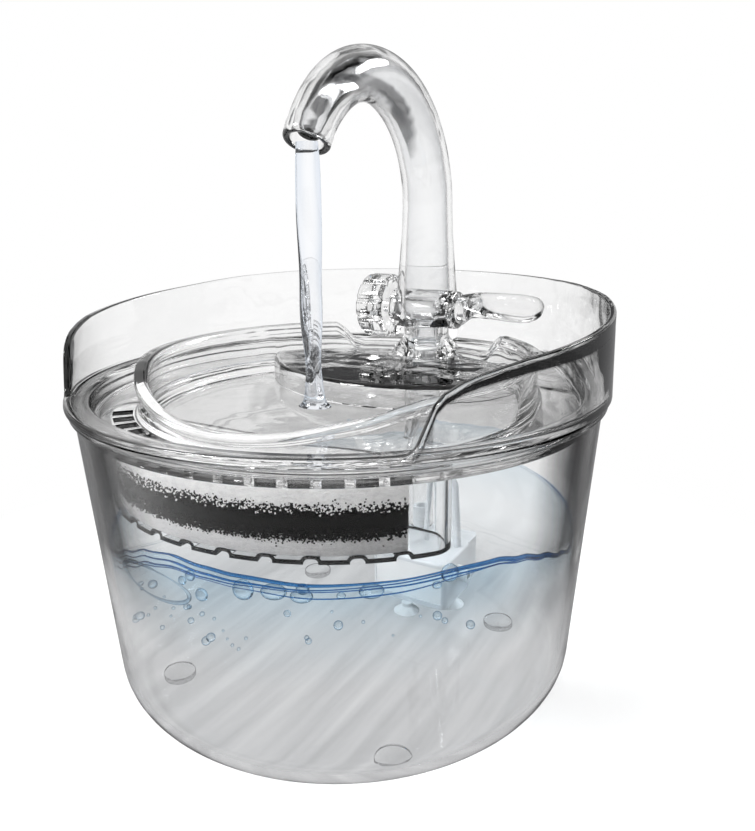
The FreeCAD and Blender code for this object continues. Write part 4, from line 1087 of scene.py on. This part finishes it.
def water(name, tint, clearness, shade=0.3):
    """Water: clear with a tint, with painted shade where the surface turns away."""
    material, tree = new_material(name)
    rim = edge_ramp(tree, [(0.0, clearness), (0.7, tint), (1.0, tuple(c * shade for c in tint))])
    clear_output(tree, add_node(tree, "BsdfPrincipled", {
        "Transmission Weight": 1.0, "IOR": 1.33, "Roughness": 0.0, "Base Color": rim}))
    return material


# The column of water that fills the spout, from the socket to the mouth.
column_builder = bmesh.new()
column_rings = []
for z, radius in ((103.0, 4.2), (118.6, 4.2), (122.2, 9.3), (132.0, 9.3), (145.0, 8.6), (165.9, 7.7)):
    column_rings.append(leg_ring(column_builder, z, radius, 64))
for step in range(1, BEND_STEPS - 1):
    share = step / BEND_STEPS
    narrowing = max(0.0, (share - 0.62) / 0.38) ** 1.5
    radius = (bend_radius(share) - 2.3) * (1.0 - narrowing) + 3.4 * narrowing
    column_rings.append(tube_ring(column_builder, *bend_frame(share), radius, 64))
column = mesh_object("spout_water", capped(column_builder, column_rings), 60.0)
column.data.materials.append(water("column_water", (0.80, 0.81, 0.83), (0.97, 0.975, 0.98), 0.5))
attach(column, "faucet")

stream_builder = bmesh.new()
stream_rings = []
STREAM_STEPS = 64
for step in range(STREAM_STEPS + 1):
    share = step / STREAM_STEPS
    z = STREAM_TOP + (STREAM_FOOT - STREAM_TOP) * share
    radius = 3.6 + 0.8 * share + 0.16 * math.sin(share * 9.0)
    flare = max(0.0, (share - 0.97) / 0.03) ** 2 * 1.6
    flat = 0.74 + 0.16 * math.sin(share * 13.0)
    turn = share * 2.6
    ring = []
    for angle in full_turn(40):
        pinch = 1.0 - 0.10 * math.cos(3 * angle + 5.0 * share)
        x = (radius * pinch + flare) * math.cos(angle)
        y = (radius * pinch * flat + flare) * math.sin(angle)
        ring.append((STREAM_X + x * math.cos(turn) - y * math.sin(turn),
                     STREAM_Y + x * math.sin(turn) + y * math.cos(turn), z))
    stream_rings.append(add_ring(stream_builder, ring))
stream = mesh_object("falling_water", capped(stream_builder, stream_rings), 60.0)
stream.data.materials.append(water("stream_water", (0.62, 0.70, 0.82), (0.97, 0.98, 1.0), 0.2))
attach(stream, "faucet")

WATER_SEGMENTS = 192
WATER_GAP = 0.15
SEEN_FROM = math.radians(33.0)
WAVE_STATIONS = (
    (-180, 62.0), (-75, 62.0), (-62, 64.3), (-55, 68.3), (-48, 72.5), (-41, 76.0), (-34, 77.4),
    (-27, 76.2), (-20, 75.3), (-6, 73.9), (8, 74.3), (22, 75.3), (29, 75.0), (36, 72.8),
    (43, 69.8), (50, 66.2), (58, 63.0), (75, 62.0), (180, 62.0))


def wave_height(angle):
    """Height of the water's waved edge by angle round the axis, in mm."""
    seen = math.degrees((angle - SEEN_FROM + math.pi) % (2 * math.pi) - math.pi)
    for (a0, z0), (a1, z1) in zip(WAVE_STATIONS, WAVE_STATIONS[1:]):
        if seen <= a1:
            share = (seen - a0) / (a1 - a0)
            return z0 + (z1 - z0) * share * share * (3 - 2 * share)
    return WAVE_STATIONS[-1][1]


def tank_inner(z):
    """Inner radius of the tank at a height, less a hair's gap."""
    rise = z - TANK_FLOOR
    straight = TANK_INNER_BASE + (TANK_INNER_RIM - TANK_INNER_BASE) * rise / (TANK_TOP - TANK_FLOOR)
    if rise >= TANK_INNER_CORNER:
        return straight - WATER_GAP
    below = TANK_INNER_CORNER - rise
    return (straight - TANK_INNER_CORNER + math.sqrt(max(0.0, TANK_INNER_CORNER ** 2 - below ** 2))
            - WATER_GAP)


def on_wall(angle, z, gap):
    """A point inside the tank's wall in mm."""
    radius = tank_inner(z) - gap
    return Vector((radius * math.sin(angle), -radius * math.cos(angle), z))


# The body of the water: a thin blue film inside the wall that fades downwards.
film_builder = bmesh.new()
FILM_ROWS = 40
FILM_BOTTOM = 24.0
film_rings = []
for row in range(FILM_ROWS + 1):
    share = row / FILM_ROWS
    ring = []
    for angle in full_turn(WATER_SEGMENTS):
        top = wave_height(angle)
        ring.append(film_builder.verts.new(on_wall(angle, top - (top - FILM_BOTTOM) * share, 0.0) * MM))
    film_rings.append(ring)
bridge(film_builder, film_rings)
tank_water = mesh_object("tank_water_side", facing_out(film_builder), 60.0)
tint, tree = new_material("tank_water_tint")
cloud = add_node(tree, "TexNoise", {"Scale": 26.0, "Detail": 3.0, "Vector": object_place(tree)})
depth = stretch_range(tree, object_axis(tree, "Z"), 0.040, 0.072)
strength = maths(tree, "MULTIPLY", maths(tree, "POWER", depth, 1.5),
                 maths(tree, "ADD", cloud.outputs[0], 0.2))
colour = add_ramp(tree, [(0.0, 1.0), (0.35, (0.87, 0.94, 0.98)), (0.8, (0.66, 0.82, 0.93))], strength)
add_node(tree, "OutputMaterial", {0: add_node(tree, "BsdfTransparent", {"Color": colour})})
tank_water.data.materials.append(tint)
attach(tank_water, "tank")

# The top of the water: a rippled sheet that only glints.
surface_builder = bmesh.new()
SURFACE_ROWS = 48
WATER_MIDDLE = 70.0
surface_rings = []
for row in range(SURFACE_ROWS + 1):
    share = row / SURFACE_ROWS
    ring = []
    for angle in full_turn(WATER_SEGMENTS):
        rim_height = wave_height(angle)
        radius = (tank_inner(rim_height) - 0.3) * (1 - share) + 0.5 * share
        ripple = 1.4 * math.sin(share * 40 + 3 * angle) * share * (1 - share)
        z = rim_height + (WATER_MIDDLE - rim_height) * share + ripple - 0.6
        ring.append((radius * math.sin(angle), -radius * math.cos(angle), z))
    surface_rings.append(add_ring(surface_builder, ring))
bridge(surface_builder, surface_rings)
surface_builder.faces.new(surface_rings[-1])
water_top = mesh_object("tank_water_top", facing_out(surface_builder), 60.0)
glint, tree = new_material("water_glint")
clear = add_node(tree, "BsdfTransparent", {"Color": (0.95, 0.975, 0.99, 1.0)})
shine = add_node(tree, "BsdfGlossy", {"Roughness": 0.04})
fresnel = add_node(tree, "Fresnel", {"IOR": 1.33}).outputs[0]
mix = mix_shaders(tree, maths(tree, "MULTIPLY", fresnel, 0.5), clear, shine)
add_node(tree, "OutputMaterial", {0: mix})
water_top.data.materials.append(glint)
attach(water_top, "tank")

# The meniscus: fine blue lines of water that climb the wall, thickest where they are seen.
line_builder = bmesh.new()
LINE_POINTS = 240
for drop, sway, thickness, seed in ((0.0, 0.0, 0.55, 0.0), (1.5, 0.5, 0.34, 1.0),
                                    (2.6, 1.1, 0.26, 2.3), (3.9, 1.6, 0.20, 4.1)):
    points = []
    for angle in full_turn(LINE_POINTS):
        crest = max(0.0, math.cos(angle - SEEN_FROM + 0.7)) ** 2
        lower = drop * (0.35 + 0.9 * crest) + sway * math.sin(5 * angle + seed) * 0.5
        points.append(on_wall(angle, wave_height(angle) - lower, 0.7))
    closed_tube(line_builder, points,
                lambda share, t=thickness, s=seed: t * (0.75 + 0.25 * math.sin(37 * share + s))
                * (0.12 + 0.88 * min(1.0, max(0.0, 0.35 + math.cos(2 * math.pi * share - SEEN_FROM)))))
water_line = mesh_object("water_line", facing_out(line_builder), 60.0)
line_material = water("water_line_blue", (0.012, 0.085, 0.27), (0.06, 0.26, 0.58), 0.12)
water_line.data.materials.append(line_material)
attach(water_line, "tank")

# Bubbles: one large flat one under the crest, some that hang from the water line, and small
# ones that rise through the water.
bubble_builder = bmesh.new()
LARGE_TURN = math.radians(-42.0)
ring_points = []
for angle in full_turn(96):
    where = SEEN_FROM + LARGE_TURN + 0.185 * math.cos(angle)
    ring_points.append(on_wall(where, 65.0 + 4.6 * math.sin(angle), 1.4))
closed_tube(bubble_builder, ring_points, lambda share: 0.42 + 0.25 * math.cos(4 * math.pi * share + 1.0))
HANGING = ((-20, 5.8, 3.0, 1.0), (-14, 5.2, 3.6, 0.62), (-8.5, 5.0, 3.1, 0.6), (-8, 2.0, 1.8, 0.9),
           (4.7, 4.2, 3.4, 0.6), (20, 2.4, 2.6, 1.0), (-31, 5.5, 1.6, 1.0), (-29, 10.5, 1.9, 1.0),
           (-33, 8.0, 1.3, 1.0), (-11, 9.5, 1.0, 1.0), (-1, 3.6, 1.2, 0.8), (17, 4.4, 1.4, 0.8))
for seen, below, size, squash in HANGING:
    angle = SEEN_FROM + math.radians(seen)
    centre = on_wall(angle, wave_height(angle) - below, size + 0.5)
    where = Matrix.Translation(centre * MM) @ Matrix.Rotation(angle, 4, "Z")
    flat = Matrix.Diagonal((1.0, 0.6, squash, 1.0))
    bmesh.ops.create_icosphere(bubble_builder, subdivisions=4, radius=size * MM, matrix=where @ flat)
bubble_source = random.Random(11)
for count in range(34):
    angle = SEEN_FROM + math.radians(bubble_source.triangular(-56, 30, -44))
    size = bubble_source.choice((0.4, 0.5, 0.7, 0.9, 1.3))
    z = wave_height(angle) - bubble_source.triangular(3.0, 34.0, 16.0)
    centre = on_wall(angle, z, size + 0.6)
    bmesh.ops.create_icosphere(bubble_builder, subdivisions=3, radius=size * MM,
                               matrix=Matrix.Translation(centre * MM))
bubbles = mesh_object("bubbles", bubble_builder, 180.0)
bubbles.data.materials.append(water("bubble_skin", (0.08, 0.20, 0.32), (0.92, 0.97, 1.0), 0.08))
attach(bubbles, "tank")
